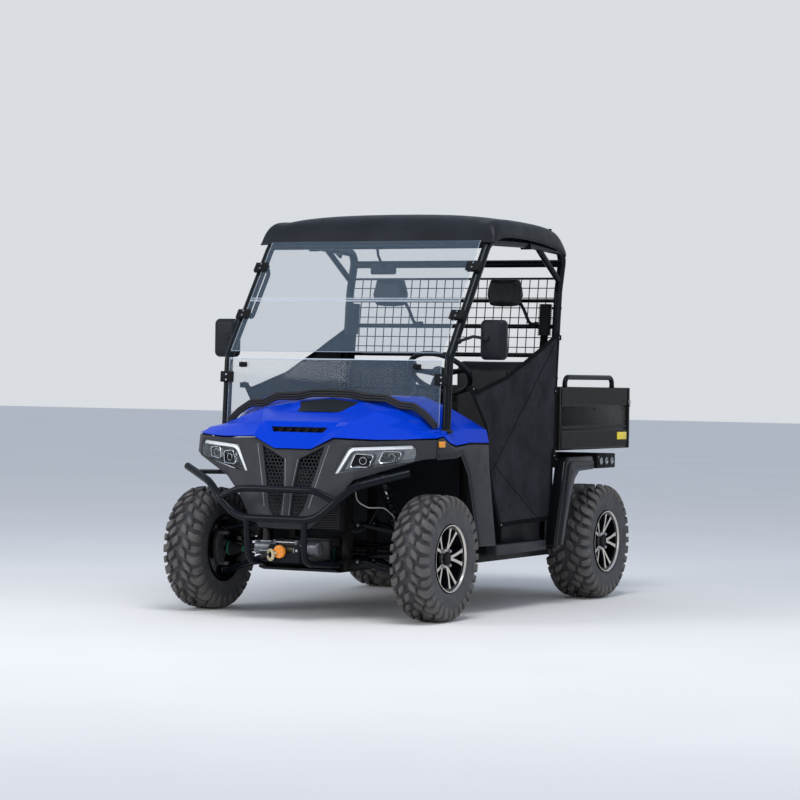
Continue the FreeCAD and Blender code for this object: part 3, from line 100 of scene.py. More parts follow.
def material(name, colour, rough, metal=0.0, grain=300.0, bump=0.04, mottle=0.25, patch=5.0, coat=0.0,
             alpha=1.0, dust=0.0, shine=0.5):
    """A finish whose colour, roughness and relief vary by noise."""
    made = bpy.data.materials.new(name)
    made.use_nodes = True
    tree = made.node_tree
    shader = tree.nodes["Principled BSDF"]
    place = tree.nodes.new("ShaderNodeTexCoord").outputs["Object"]

    def noise(scale, detail):
        texture = tree.nodes.new("ShaderNodeTexNoise")
        texture.inputs["Scale"].default_value = scale
        texture.inputs["Detail"].default_value = detail
        tree.links.new(place, texture.inputs["Vector"])
        return texture.outputs["Fac"]

    def spread(source, low, high):
        turn = tree.nodes.new("ShaderNodeMapRange")
        turn.inputs["From Min"].default_value = 0.3
        turn.inputs["From Max"].default_value = 0.7
        turn.inputs["To Min"].default_value = low
        turn.inputs["To Max"].default_value = high
        tree.links.new(source, turn.inputs["Value"])
        return turn.outputs["Result"]

    ramp = tree.nodes.new("ShaderNodeValToRGB")
    ramp.color_ramp.elements[0].position = 0.3
    ramp.color_ramp.elements[1].position = 0.7
    ramp.color_ramp.elements[0].color = [c * (1 - mottle) for c in colour] + [1]
    ramp.color_ramp.elements[1].color = [min(1, c * (1 + mottle)) for c in colour] + [1]
    tree.links.new(noise(patch, 6), ramp.inputs["Fac"])
    paint = ramp.outputs["Color"]
    if dust:
        mix = tree.nodes.new("ShaderNodeMix")
        mix.data_type = "RGBA"
        mix.inputs["B"].default_value = (0.17, 0.15, 0.13, 1)
        tree.links.new(paint, mix.inputs["A"])
        tree.links.new(spread(noise(38, 8), 0.0, dust), mix.inputs["Factor"])
        paint = mix.outputs["Result"]
    tree.links.new(paint, shader.inputs["Base Color"])
    tree.links.new(spread(noise(patch * 3, 5), rough * 0.85, min(1, rough * 1.15)), shader.inputs["Roughness"])
    shader.inputs["Metallic"].default_value = metal
    shader.inputs["Specular IOR Level"].default_value = shine
    shader.inputs["Coat Weight"].default_value = coat
    shader.inputs["Coat Roughness"].default_value = 0.04
    shader.inputs["Alpha"].default_value = alpha
    if bump:
        relief = tree.nodes.new("ShaderNodeBump")
        relief.inputs["Strength"].default_value = bump
        relief.inputs["Distance"].default_value = 0.002
        tree.links.new(noise(grain, 3), relief.inputs["Height"])
        tree.links.new(relief.outputs["Normal"], shader.inputs["Normal"])
    return made


bm = bmesh.new()
bmesh.ops.create_grid(bm, x_segments=1, y_segments=1, size=60)
floor_mesh = bpy.data.meshes.new("floor")
bm.to_mesh(floor_mesh)
bm.free()
floor = bpy.data.objects.new("floor", floor_mesh)
floor_mesh.materials.append(material("pale_floor", (0.84, 0.82, 0.79), 0.8, shine=0.2, grain=60, bump=0.02,
                                     mottle=0.02, patch=0.6))
bpy.context.scene.collection.objects.link(floor)


# Tyres: moulded rubber, a carcass with ribs on its wall and rows of raised blocks cut on a slant. Each
# half carries centre blocks, middle blocks and long and short shoulder blocks, staggered from side to side.

def add(name, bm, mats, body=ROOT, replaces=(), smooth=40, weld=True, outward=True):
    """Turns a mesh into a piece that rides on a body."""
    if weld:
        bmesh.ops.remove_doubles(bm, verts=bm.verts, dist=1e-5)
    if outward:
        bmesh.ops.recalc_face_normals(bm, faces=bm.faces)
    mesh = bpy.data.meshes.new(name)
    bm.to_mesh(mesh)
    bm.free()
    piece = bpy.data.objects.new(name, mesh)
    bpy.context.scene.collection.objects.link(piece)
    for mat in mats if isinstance(mats, (list, tuple)) else [mats]:
        mesh.materials.append(mat)
    if smooth:
        mesh.shade_smooth()
        mesh.set_sharp_from_angle(angle=math.radians(smooth))
    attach(piece, body)
    if replaces:
        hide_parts(*replaces)
    return piece


def rings(bm, loops, ends=True, around=True, mat=0):
    """Faces between loops of corner points; around joins the last loop point to the first."""
    rows = [[bm.verts.new(p) for p in loop] for loop in loops]
    count = len(rows[0])
    for low, high in zip(rows, rows[1:]):
        for k in range(count if around else count - 1):
            n = (k + 1) % count
            bm.faces.new((low[k], low[n], high[n], high[k])).material_index = mat
    if ends:
        for row in (rows[0], rows[-1]):
            bm.faces.new(row).material_index = mat
    return rows


def spun(bm, points, centre, along, sides, mat=0, closed=False):
    """A line of points spun once round an axis; a closed line joins its last point to its first."""
    before = set(bm.verts)
    line = [bm.verts.new(p) for p in points]
    edges = [bm.edges.new(pair) for pair in zip(line, line[1:] + line[:1] if closed else line[1:])]
    bmesh.ops.spin(bm, geom=line + edges, cent=centre, axis=along, angle=2 * math.pi, steps=sides, use_merge=True)
    made = [v for v in bm.verts if v not in before]
    for face in {f for v in made for f in v.link_faces}:
        face.material_index = mat
    return made


# One rubber in two copies: the blocks are painted lighter as a painted sunlit top, and the carcass darker and a
# little bluish as painted shade with a painted sky reflection. The dust mixed into both is real dirt.
tyre_rubber = material("tyre_rubber", (0.053, 0.054, 0.060), 0.55, grain=220, bump=0.2, dust=0.10, patch=9,
                       shine=0.25)
sunlit_dusty_lug_rubber = material("sunlit_dusty_lug_rubber", (0.092, 0.088, 0.088), 0.7, grain=260, bump=0.35, dust=0.30, patch=11, shine=0.2)
FRONT_AXLE, REAR_AXLE, AXLE_Z = -0.975, 0.925, 0.3163
TREAD, BEAD = 0.3161, 0.1735
PITCHES, CARCASS_SIDES = 16, 96
SINK, LUG_EDGE = 0.004, 0.0022
carcass = ((0.0, 0.2960), (0.5, 0.2945), (0.78, 0.2860), (0.90, 0.2750), (0.965, 0.2600), (0.975, 0.240),
           (0.955, 0.226), (0.958, 0.222), (0.935, 0.205), (0.938, 0.201), (0.90, 0.186), (0.885, 0.1745),
           (0.86, BEAD))
crown_top = ((0.0, TREAD), (0.5, TREAD), (0.8, 0.311), (0.93, 0.301), (1.0, 0.287))
lugs = (
    # across the half width, along the pitch, half width along the pitch
    ((0.03, 0.02, 0.15), (0.15, 0.05, 0.19), (0.28, 0.13, 0.19), (0.38, 0.22, 0.14)),
    ((0.24, 0.60, 0.12), (0.38, 0.69, 0.16), (0.52, 0.79, 0.15), (0.60, 0.85, 0.12)),
    ((0.48, 0.28, 0.12), (0.62, 0.37, 0.17), (0.78, 0.45, 0.18), (0.93, 0.47, 0.19), (1.0, 0.47, 0.19)),
    ((0.70, 0.93, 0.11), (0.80, 0.95, 0.15), (0.93, 0.96, 0.16), (1.0, 0.96, 0.15)),
)


def along_line(line, at):
    """The value of a broken line at a place."""
    for (u0, r0), (u1, r1) in zip(line, line[1:]):
        if at <= u1:
            return r0 + (r1 - r0) * (at - u0) / (u1 - u0)
    return line[-1][1]


def tyre(axle, side_name, side, x, y, half):
    """One tyre, its tread blocks set on the carcass."""
    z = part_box(f"tyre_{axle}_{side_name}")[1][2] / 2
    centre = Vector((side * x, y, z))
    bm = bmesh.new()

    def at(u, radius, angle):
        return centre + Vector((u * half, radius * math.cos(angle), radius * math.sin(angle)))

    line = [(-u, r) for u, r in carcass[::-1]] + list(carcass[1:])
    line += [(0.80, BEAD), (0.80, 0.25), (0, 0.28), (-0.80, 0.25), (-0.80, BEAD)]
    spun(bm, [at(u, r, 0) for u, r in line], centre, (1, 0, 0), CARCASS_SIDES, closed=True)
    pitch = 2 * math.pi / PITCHES
    for half_side, stagger in ((1, 0), (-1, 0.5)):
        for number in range(PITCHES):
            for stations in lugs:
                loops = []
                for index, (u, v, reach) in enumerate(stations):
                    angle = (number + v + stagger) * pitch
                    top_u = u
                    if index == 0:
                        top_u += 0.03
                    if index == len(stations) - 1 and u < 0.95:
                        top_u -= 0.03
                    base, top = along_line(carcass, min(u, 0.96)) - SINK, along_line(crown_top, u)
                    low_u, high_u = half_side * min(u, 0.955), half_side * top_u
                    wide, tight = reach * pitch, reach * pitch * 0.88
                    loops.append([at(low_u, base, angle - wide), at(high_u, top, angle - tight),
                                  at(high_u, top, angle + tight), at(low_u, base, angle + wide)])
                if stations[-1][0] > 0.95:
                    wide, tight = reach * pitch * 0.8, reach * pitch * 0.64
                    low_u, high_u = half_side * 0.95, half_side * 0.992
                    loops.append([at(low_u, 0.246, angle - wide), at(high_u, 0.250, angle - tight),
                                  at(high_u, 0.250, angle + tight), at(low_u, 0.246, angle + wide)])
                before = set(bm.verts)
                rings(bm, loops, mat=1)
                edges = {e for v in bm.verts if v not in before for e in v.link_edges}
                bmesh.ops.bevel(bm, geom=list(edges), offset=LUG_EDGE, segments=1, affect="EDGES", profile=0.5,
                                material=-1)
    return add(f"tread_{axle}_{side_name}", bm, [tyre_rubber, sunlit_dusty_lug_rubber], f"wheel_{axle}_{side_name}",
               (f"tyre_{axle}_{side_name}",), 35, weld=False)


# Rims: cast alloy, painted gloss black and turned bright on the face. Five spokes part into two legs each,
# inside a turned lip, with four nuts and a plain cap; the brake disc shows behind.

def circle(centre, along, radius, sides):
    """Corner points round an axis."""
    along = Vector(along).normalized()
    across = along.cross(Vector((0, 0, 1)) if abs(along.z) < 0.9 else Vector((1, 0, 0))).normalized()
    rise = along.cross(across)
    return [Vector(centre) + radius * (across * math.cos(a) + rise * math.sin(a))
            for a in (2 * math.pi * k / sides for k in range(sides))]


def turned(bm, start, along, steps, sides=32, mat=0, ends=True):
    """A turned body: a profile of (distance, radius) steps spun about its axis, with flat ends."""
    along = Vector(along).normalized()
    out = circle((0, 0, 0), along, 1.0, sides)[0]
    made = spun(bm, [Vector(start) + along * d + out * max(r, 1e-4) for d, r in steps], start, along, sides, mat)
    if ends:
        rims = list({e for v in made for e in v.link_edges if e.is_boundary})
        for face in bmesh.ops.holes_fill(bm, edges=rims)["faces"]:
            face.material_index = mat


gloss_black = material("gloss_black", (0.004, 0.0045, 0.006), 0.16, bump=0.01, coat=0.03, shine=0.16)
dull_black = material("dull_black", (0.007, 0.007, 0.008), 0.6, bump=0.06, shine=0.12)
machined = material("machined_face", (0.66, 0.62, 0.57), 0.24, metal=1.0, grain=1400, bump=0.03, mottle=0.06)
steel = material("grey_steel", (0.34, 0.35, 0.37), 0.38, metal=1.0, bump=0.05, mottle=0.3)
DISC_X = 0.636
# along the spoke, degrees off its middle, half width, depth behind the face
spoke_stations = ((0.040, 2.5, 0.0075, 0.016), (0.060, 5.5, 0.0085, 0.013), (0.095, 9.5, 0.0080, 0.006),
                  (0.130, 12.3, 0.0090, 0.001), (0.1495, 13.2, 0.0120, -0.003))
# share of the half width, depth
spoke_section = ((-1.35, -0.030), (-1.0, -0.002), (-0.88, 0), (0.88, 0), (1.0, -0.002), (1.35, -0.030))


def rim(axle, side_name, side, x, y, half):
    """One rim with its spokes, nuts and cap, and the brake disc."""
    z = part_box(f"tyre_{axle}_{side_name}")[1][2] / 2
    bm = bmesh.new()
    outer = half - 0.0077

    def at(depth, across, outward):
        """Depth is measured along the axle from the wheel's middle, outwards."""
        return Vector((side * (x + depth), y + across, z + outward))

    def lathe(steps, mat, sides=80):
        turned(bm, at(0, 0, 0), (side, 0, 0), steps, sides, mat, ends=False)

    lathe([(outer - 0.004, 0.168), (outer - 0.0005, 0.1685), (outer, 0.167), (outer - 0.001, 0.164)], 1)
    lathe([(outer - 0.001, 0.164), (outer - 0.010, 0.1585), (outer - 0.0125, 0.153)], 1)
    lathe([(outer - 0.0125, 0.153), (outer - 0.016, 0.149), (outer - 0.030, 0.1475), (0, 0.143),
           (-outer + 0.012, 0.147), (-outer + 0.004, 0.160), (-outer, 0.168), (-outer + 0.006, 0.169),
           (-outer + 0.007, 0.1535), (0, 0.149), (outer - 0.010, 0.1535), (outer - 0.006, 0.168),
           (outer - 0.004, 0.168)], 0)
    face = outer - 0.016
    for arm in range(5):
        for lean in (-1, 1):
            loops = []
            for reach, spread, width, dip in spoke_stations:
                angle = math.radians(72 * arm + lean * spread)
                out = Vector((0, math.cos(angle), math.sin(angle)))
                across = Vector((0, -math.sin(angle), math.cos(angle)))
                points = [(out * reach + across * width * way, depth) for way, depth in spoke_section]
                loops.append([at(face - dip + depth, p.y, p.z) for p, depth in points])
            rows = rings(bm, loops)
            for low, high in zip(rows, rows[1:]):
                for edge_face in set(low[2].link_faces) & set(low[3].link_faces) & set(high[2].link_faces):
                    edge_face.material_index = 1
    lathe([(face - 0.045, 0.060), (face - 0.022, 0.060), (face - 0.017, 0.055), (face - 0.016, 0.046)], 0)
    lathe([(face - 0.016, 0.046), (face - 0.015, 0.036)], 1)
    lathe([(face - 0.015, 0.036), (face - 0.006, 0.0345), (face - 0.003, 0.030), (face - 0.002, 0.012),
           (face - 0.002, 0.0005)], 3)
    for nut in range(4):
        angle = math.radians(45 + 90 * nut)
        middle = at(face - 0.020, 0.050 * math.cos(angle), 0.050 * math.sin(angle))
        turned(bm, middle, (side, 0, 0), ((0, 0.0095), (0.012, 0.0095), (0.016, 0.0060)), 6, mat=2)
    hub = DISC_X - x
    lathe([(hub + 0.008, 0.055), (hub + 0.008, 0.105), (hub + 0.014, 0.105), (hub + 0.014, 0.055)], 2, sides=64)
    lathe([(hub, 0.026), (hub, 0.058), (hub + 0.020, 0.060), (face - 0.044, 0.060)], 0, sides=48)
    name = f"wheel_{axle}_{side_name}"
    return add(f"{name}_cast", bm, [gloss_black, machined, steel, dull_black], name, (f"rim_{axle}_{side_name}",),
               30)


for axle, x, y, half in (("front", 0.655, FRONT_AXLE, 0.1025), ("rear", 0.645, REAR_AXLE, 0.1275)):
    for side_name, side in (("left", 1), ("right", -1)):
        tyre(axle, side_name, side, x, y, half)
        rim(axle, side_name, side, x, y, half)


# Safety cage: 45 mm steel tube with a satin black coat, bent cold and welded to square flanges; the rear
# hoop carries cross bars and a brace on each side.

def bent(points, bend, steps):
    """A path with its corners rounded."""
    points = [Vector(p) for p in points]
    path = [points[0]]
    for before, corner, after in zip(points, points[1:], points[2:]):
        into, out = (corner - before).normalized(), (after - corner).normalized()
        turn = into.angle(out)
        if turn < 0.02 or not bend:
            path.append(corner)
            continue
        first = corner - into * bend * math.tan(turn / 2)
        spoke = first - (first + (out - into * into.dot(out)).normalized() * bend)
        centre = first - spoke
        path += [centre + spoke * math.cos(turn * s / steps) + into * bend * math.sin(turn * s / steps)
                 for s in range(steps + 1)]
    return path + [points[-1]]


def sweep(bm, points, radius, bend=0.0, sides=20, steps=8, mat=0, ends=True):
    """A round tube along a path, its sections mitred."""
    path = bent(points, bend, steps)
    loop = circle(path[0], path[1] - path[0], radius, sides)
    loops = [loop]
    for before, here, after in zip(path, path[1:], path[2:]):
        into, out = (here - before).normalized(), (after - here).normalized()
        mitre = (into + out).normalized()
        loop = [p + into * ((here - p).dot(mitre) / into.dot(mitre)) for p in loop]
        loops.append(loop)
    into = (path[-1] - path[-2]).normalized()
    loops.append([p + into * (path[-1] - p).dot(into) for p in loop])
    return rings(bm, loops, ends, mat=mat)


def softened(bm, verts, edge, segments, mat):
    """The faces of a fresh solid get their material, and its edges are rounded."""
    for face in {f for v in verts for f in v.link_faces}:
        face.material_index = mat
    if edge:
        bmesh.ops.bevel(bm, geom=list({e for v in verts for e in v.link_edges}), offset=edge, segments=segments,
                        affect="EDGES", profile=0.5, material=-1)


def block(bm, low, high, edge=0.0, segments=2, mat=0):
    """A cuboid between two corners, its edges rounded."""
    low, high = Vector(low), Vector(high)
    place = Matrix.Translation((low + high) / 2) @ Matrix.Diagonal((*(high - low), 1))
    softened(bm, bmesh.ops.create_cube(bm, size=1, matrix=place)["verts"], edge, segments, mat)


def mirror_all(bm):
    """Adds the same mesh on the other side of the vehicle."""
    bmesh.ops.mirror(bm, geom=bm.verts[:] + bm.edges[:] + bm.faces[:], merge_dist=1e-7, axis="X")


satin = material("satin_paint", (0.004, 0.006, 0.009), 0.26, bump=0.02, mottle=0.15, shine=0.14)
CAGE_X, CAGE_R = 0.645, 0.0225
knee = Vector((CAGE_X, -0.829, 1.309))
brow = Vector((CAGE_X, -0.397, 1.922))
hoop = ((0.425, 0.775), (0.430, 1.185), (0.479, 1.689), (0.537, 1.910))


def hoop_y(z):
    """How far back the rear hoop stands at a height."""
    return along_line([(height, y) for y, height in hoop], z)


bm = bmesh.new()
sweep(bm, [(CAGE_X, -0.849, 0.9340), knee, brow, (CAGE_X, 0.056, 1.930)], CAGE_R, 0.11, 28, 12)
block(bm, (CAGE_X - 0.0225, -0.875, 0.9333), (CAGE_X + 0.0225, -0.823, 0.9413), 0.002)
block(bm, (CAGE_X - 0.03, 0.054, 1.900), (CAGE_X + 0.03, 0.060, 1.960), 0.0015)
mirror_all(bm)
sweep(bm, [(-CAGE_X, -0.405, 1.904), (CAGE_X, -0.405, 1.904)], 0.0185, sides=24)
add("cage_front_tube", bm, satin, replaces=("cage_front",))

bm = bmesh.new()
path = [(CAGE_X, y, z + (0.001 if z < 0.8 else 0)) for y, z in hoop] + [(CAGE_X, 0.064, 1.930)]
sweep(bm, path, CAGE_R, 0.06, 28, 12)
sweep(bm, [(CAGE_X, hoop_y(1.743), 1.743), (CAGE_X, 0.182, 1.930)], 0.0165, sides=20)
block(bm, (CAGE_X - 0.0225, 0.399, 0.7753), (CAGE_X + 0.0225, 0.451, 0.7833), 0.002)
block(bm, (CAGE_X - 0.03, 0.0603, 1.900), (CAGE_X + 0.03, 0.0663, 1.960), 0.0015)
for z in (1.60, 1.22):
    sweep(bm, [(CAGE_X - 0.0285, hoop_y(z), z), (CAGE_X + 0.0245, hoop_y(z), z)], 0.008, sides=6)
mirror_all(bm)
for z, radius, ahead in ((1.845, 0.0205, 0), (1.640, 0.010, 0.010), (1.500, 0.012, 0), (1.343, 0.012, 0)):
    sweep(bm, [(-CAGE_X, hoop_y(z) - ahead, z), (CAGE_X, hoop_y(z) - ahead, z)], radius, sides=20)
add("cage_rear_tube", bm, satin, replaces=("cage_rear",))


# Rear screen: a panel of welded steel wire, painted satin black and fixed to the hoop's cross bars behind
# the riders' heads.

def dressed(node, mat, edge, segments=2, body=ROOT, angle=25):
    """The solid's own form with its edges rounded, for sheet and cast pieces whose shape is settled."""
    bm = bmesh.new()
    bm.from_mesh(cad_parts[node].data)
    bmesh.ops.remove_doubles(bm, verts=bm.verts, dist=2e-5)
    bmesh.ops.dissolve_limit(bm, angle_limit=math.radians(1), verts=bm.verts, edges=bm.edges)
    for face in bm.faces:
        face.material_index = 0
    sharp = [e for e in bm.edges if e.is_manifold and e.calc_face_angle(0) > math.radians(angle)]
    bmesh.ops.bevel(bm, geom=sharp, offset=edge, segments=segments, affect="EDGES", profile=0.5, material=-1,
                    clamp_overlap=True)
    return add(node + "_dressed", bm, mat, body, (node,))


dressed("rear_screen", satin, 0.0012, 1)


# Bumper: one loop of 38 mm steel tube, bent cold, with arms out to the wheels. An upper bar is welded in,
# and two legs and two stays bolt it to the frame.

bm = bmesh.new()
loop_half = [(0.640, -1.229, 0.744), (0.415, -1.377, 0.675), (0.332, -1.418, 0.600), (0.222, -1.428, 0.505)]
sweep(bm, loop_half + [(-x, y, z) for x, y, z in loop_half[::-1]], 0.019, 0.19, 28, 10)
top_half = [(0.325, -1.418, 0.604), (0.212, -1.422, 0.652)]
sweep(bm, top_half + [(-x, y, z) for x, y, z in top_half[::-1]], 0.0175, 0.19, 28, 10)
half = bmesh.new()
sweep(half, [(0.165, -1.431, 0.505), (0.160, -1.421, 0.283), (0.160, -1.321, 0.283), (0.215, -1.190, 0.271),
             (0.215, -1.1503, 0.271)], 0.016, 0.076, 24, 10)
sweep(half, [(0.560, -1.281, 0.720), (0.267, -1.105, 0.720)], 0.0115, sides=16)
block(half, (0.2503, -1.125, 0.690), (0.2583, -1.085, 0.750), 0.0015)
mirror_all(half)
mesh = bpy.data.meshes.new("bumper_half")
half.to_mesh(mesh)
half.free()
bm.from_mesh(mesh)
bpy.data.meshes.remove(mesh)
add("bumper_tube", bm, satin, replaces=("bumper",))


# Hood: one panel moulded in blue plastic with raised creases and bolted down, with a slot with slanted
# fins above the nose, a black access plate before the windscreen and rubber grommets round the pillars.

def plate(bm, outline, along, edge=0.0, segments=2, mat=0):
    """A flat outline pushed along a direction, its edges rounded."""
    face = bm.faces.new([bm.verts.new(p) for p in outline])
    grown = bmesh.ops.extrude_face_region(bm, geom=[face])["geom"]
    far = [v for v in grown if isinstance(v, bmesh.types.BMVert)]
    bmesh.ops.translate(bm, vec=along, verts=far)
    softened(bm, list(face.verts) + far, edge, segments, mat)


blue = material("blue_panel", (0.0, 0.040, 0.52), 0.24, bump=0.0, mottle=0.03, coat=0.02, shine=0.07)
black_plastic = material("black_plastic", (0.012, 0.014, 0.018), 0.45, grain=420, bump=0.05, shine=0.15)
seal_rubber = material("seal_rubber", (0.020, 0.020, 0.021), 0.6, grain=500, bump=0.1, shine=0.25)
EDGE = 0.690
hood_rows = [
    [(0, -1.273, .852), (.105, -1.273, .852), (.227, -1.268, .911), (.440, -1.204, .905), (.560, -1.145, .909),
     (.633, -1.097, .914), (.686, -1.036, .917)],
    [(0, -1.185, .985), (.215, -1.181, .985), (.252, -1.152, .984), (.440, -1.090, .966), (.560, -1.045, .953),
     (.640, -1.017, .944), (EDGE, -.960, .925)],
    [(0, -1.000, 1.036), (.200, -1.001, 1.036), (.330, -1.010, 1.040), (.470, -.985, 1.000), (.585, -.955, .962),
     (.655, -.920, .950), (EDGE, -.885, .890)],
    [(0, -.872, 1.106), (.190, -.872, 1.088), (.400, -.872, 1.050), (.522, -.872, 1.004), (.600, -.872, .943),
     (.662, -.872, .946), (EDGE, -.820, .876)],
    [(0, -.770, 1.118), (.200, -.770, 1.118), (.425, -.770, 1.110), (.545, -.750, 1.075), (.620, -.720, .990),
     (.672, -.700, .952), (EDGE, -.660, .888)],
    [(0, -.700, 1.120), (.250, -.700, 1.120), (.440, -.699, 1.118), (.550, -.641, 1.066), (.628, -.540, 1.000),
     (.676, -.450, .949), (EDGE, -.448, .884)]]
slot_share = (0.60, 0.80)


def between(row, after, share):
    """The points part of the way from one row to the next."""
    return [tuple(a + (b - a) * share for a, b in zip(p, q)) for p, q in zip(row, after)]


rows = [hood_rows[0]] + [between(hood_rows[0], hood_rows[1], s) for s in slot_share] + hood_rows[1:]
for row in rows:
    row.insert(1, between(row[:1], row[1:2], 0.84)[0])
bm = bmesh.new()
grid = [[bm.verts.new(p) for p in [(-x, y, z) for x, y, z in row[:0:-1]] + list(row)] for row in rows]
middle = len(grid[0]) // 2
for i, (low, high) in enumerate(zip(grid, grid[1:])):
    for j in range(len(low) - 1):
        if i == 1 and middle - 1 <= j <= middle:
            continue
        bm.faces.new((low[j], low[j + 1], high[j + 1], high[j]))
bmesh.ops.recalc_face_normals(bm, faces=bm.faces)
if sum(f.normal.z for f in bm.faces) < 0:
    bmesh.ops.reverse_faces(bm, faces=bm.faces)
hood = add("hood_panel", bm, blue, replaces=("hood",), smooth=0)
for kind, settings in (
        ("BEVEL", {"width": 0.0032, "segments": 2, "limit_method": "ANGLE", "angle_limit": math.radians(7)}),
        ("SOLIDIFY", {"thickness": 0.0045, "offset": -1}),
        ("WEIGHTED_NORMAL", {"keep_sharp": True, "weight": 80})):
    modifier = hood.modifiers.new(kind.lower(), kind)
    for key, value in settings.items():
        setattr(modifier, key, value)
hood.data.shade_smooth()
hood.data.set_sharp_from_angle(angle=math.radians(30))
bm = bmesh.new()
for x in (-1, 1):
    turned(bm, (x * 0.645, -0.8482, 0.9425), (0, 0.05, 1),
           ((0, 0.0232), (0, 0.037), (0.004, 0.037), (0.009, 0.028), (0.011, 0.0232)), 32)
add("pillar_grommets", bm, seal_rubber)

hood_skin = BVHTree.FromPolygons([v.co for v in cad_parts["hood"].data.vertices],
                                 [list(p.vertices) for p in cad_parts["hood"].data.polygons])


def on_hood(x, y, lift=0.0):
    """A point on top of the hood's own solid."""
    return hood_skin.ray_cast(Vector((x, y, 2)), Vector((0, 0, -1)))[0] + Vector((0, 0, lift))


bm = bmesh.new()
loops = []
for y, half in ((-1.022, 0.092), (-1.016, 0.112), (-0.998, 0.128), (-0.940, 0.152), (-0.893, 0.172)):
    loops.append([on_hood(half * k / 8, y, 0.0035 if abs(k) < 8 else 0.001) for k in range(-8, 9)])
rings(bm, loops, ends=False, around=False)
add("access_plate", bm, black_plastic, smooth=50)

bm = bmesh.new()
block(bm, (-0.186, -1.190, 0.922), (0.186, -1.182, 0.966), 0.001)
for k in range(7):
    foot, tip = -0.165 + k * 0.050, -0.135 + k * 0.050
    fin = [(foot, -1.212, 0.932), (foot + 0.005, -1.212, 0.932), (tip, -1.197, 0.957), (tip - 0.005, -1.197, 0.957)]
    plate(bm, fin, (0, 0.012, 0), 0.0006, mat=1)
add("hood_vent_fins", bm, [dull_black, black_plastic])


# Nose: a charcoal plastic moulding in a V, with a black mesh of hexagons let in on each side of a smooth
# spine and thin bright lines beside both.

charcoal = material("charcoal_plastic", (0.036, 0.037, 0.042), 0.45, grain=900, bump=0.1, mottle=0.12, shine=0.12)
PLAN_TOP, PLAN_DROP = 0.930, 0.490
plan_high = ((0, -1.252), (0.180, -1.250), (0.340, -1.258), (0.616, -1.112), (0.645, -1.080), (0.686, -1.034))
plan_low = ((0, -1.350), (0.180, -1.346), (0.383, -1.338), (0.640, -1.182), (0.668, -1.140), (0.700, -1.090))


def nose(x, z, behind=0.0):
    """A point on the front face at a width and height."""
    share = (PLAN_TOP - z) / PLAN_DROP
    line = [(a[0] + (b[0] - a[0]) * share, a[1] + (b[1] - a[1]) * share) for a, b in zip(plan_high, plan_low)]
    return Vector((x, along_line(line, abs(x)) + behind, z))


def within(outline, x, z):
    """Whether a point lies inside the outline."""
    inside = False
    for (x0, z0), (x1, z1) in zip(outline, outline[1:] + outline[:1]):
        if (z0 > z) != (z1 > z) and x < (x1 - x0) * (z - z0) / (z1 - z0) + x0:
            inside = not inside
    return inside


dressed("fascia", charcoal, 0.0022, 2)
grille_edge = [(0.044, 0.800), (0.180, 0.868), (0.126, 0.655), (0.098, 0.545), (0.060, 0.500), (0.027, 0.500),
               (0.027, 0.655)]
bm = bmesh.new()
cell = 0.0118
cell_steps = ((cell - 0.0018, 0.016), (cell - 0.0026, 0.009), (cell + 0.0002, 0.009), (cell + 0.0002, 0.016))
for side in (1, -1):
    for row in range(26):
        for column in range(10):
            x = 0.024 + (column + 0.5 * (row % 2)) * cell * math.sqrt(3)
            z = 0.490 + row * cell * 1.5
            if not within(grille_edge, x, z):
                continue
            loops = []
            for radius, depth in cell_steps:
                loops.append([nose(side * (x + radius * math.sin(a)), z + radius * math.cos(a), depth)
                              for a in (math.pi / 3 * k for k in range(6))])
            rings(bm, loops, ends=False)
    sweep(bm, [nose(side * x, z, 0.005) for x, z in grille_edge + grille_edge[:1]], 0.004, sides=10, steps=1)
add("grille_mesh", bm, black_plastic, replaces=("grille",), smooth=30)
bm = bmesh.new()
for side in (1, -1):
    for line, radius in ((((0.206, 0.872), (0.158, 0.690), (0.128, 0.560)), 0.0022),
                         (((0.036, 0.800), (0.019, 0.655), (0.019, 0.520)), 0.0018)):
        sweep(bm, [nose(side * x, z, 0.0005) for x, z in line], radius, sides=8, steps=1)
add("nose_bright_lines", bm, steel)


# Headlamps: a metal-coated bowl behind a clear plastic cover, with a white strip hooked round the inner
# and top edges and two framed projectors, sealed into the nose with rubber.

chrome = material("bright_trim", (0.75, 0.77, 0.80), 0.15, metal=1.0, bump=0.0, mottle=0.05)
lamp_bowl = material("lamp_bowl", (0.30, 0.31, 0.33), 0.30, metal=0.8, grain=900, bump=0.02, mottle=0.1)
lamp_white = material("lamp_strip", (0.86, 0.88, 0.90), 0.25, bump=0.0, mottle=0.02)
lens = material("lamp_lens", (0.30, 0.32, 0.34), 0.03, bump=0.0, mottle=0.02, alpha=0.10)
lamp_edge = [(0.243, 0.727), (0.318, 0.868), (0.600, 0.882), (0.618, 0.862), (0.622, 0.836), (0.614, 0.800)]
# loops of the two projectors' frames
projector_frames = ([(0.325, 0.764), (0.352, 0.834), (0.434, 0.829), (0.415, 0.768)],
                    [(0.452, 0.786), (0.471, 0.848), (0.557, 0.845), (0.537, 0.797)])
projector = ((0, 0.018), (0.008, 0.018), (0.010, 0.016), (0.014, 0.012), (0.017, 0.006), (0.018, 0.001))


def shrunk(outline, by):
    """The outline moved inwards by a distance, corner by corner."""
    moved = []
    for k, (x, z) in enumerate(outline):
        (x0, z0), (x1, z1) = outline[k - 1], outline[(k + 1) % len(outline)]
        a, b = Vector((x - x0, z - z0)).normalized(), Vector((x1 - x, z1 - z)).normalized()
        n, m = Vector((a.y, -a.x)), Vector((b.y, -b.x))
        step = (n + m) / (1 + n.dot(m))
        moved.append((x + step.x * by, z + step.y * by))
    return moved


def rounded(outline, radius):
    """The closed outline with its corners rounded."""
    first, last = Vector((outline[0][0], 0, outline[0][1])), Vector((outline[-1][0], 0, outline[-1][1]))
    path = [(first + last) / 2] + [Vector((x, 0, z)) for x, z in outline] + [(first + last) / 2]
    return [(p.x, p.z) for p in bent(path, radius, 4)[:-1]]


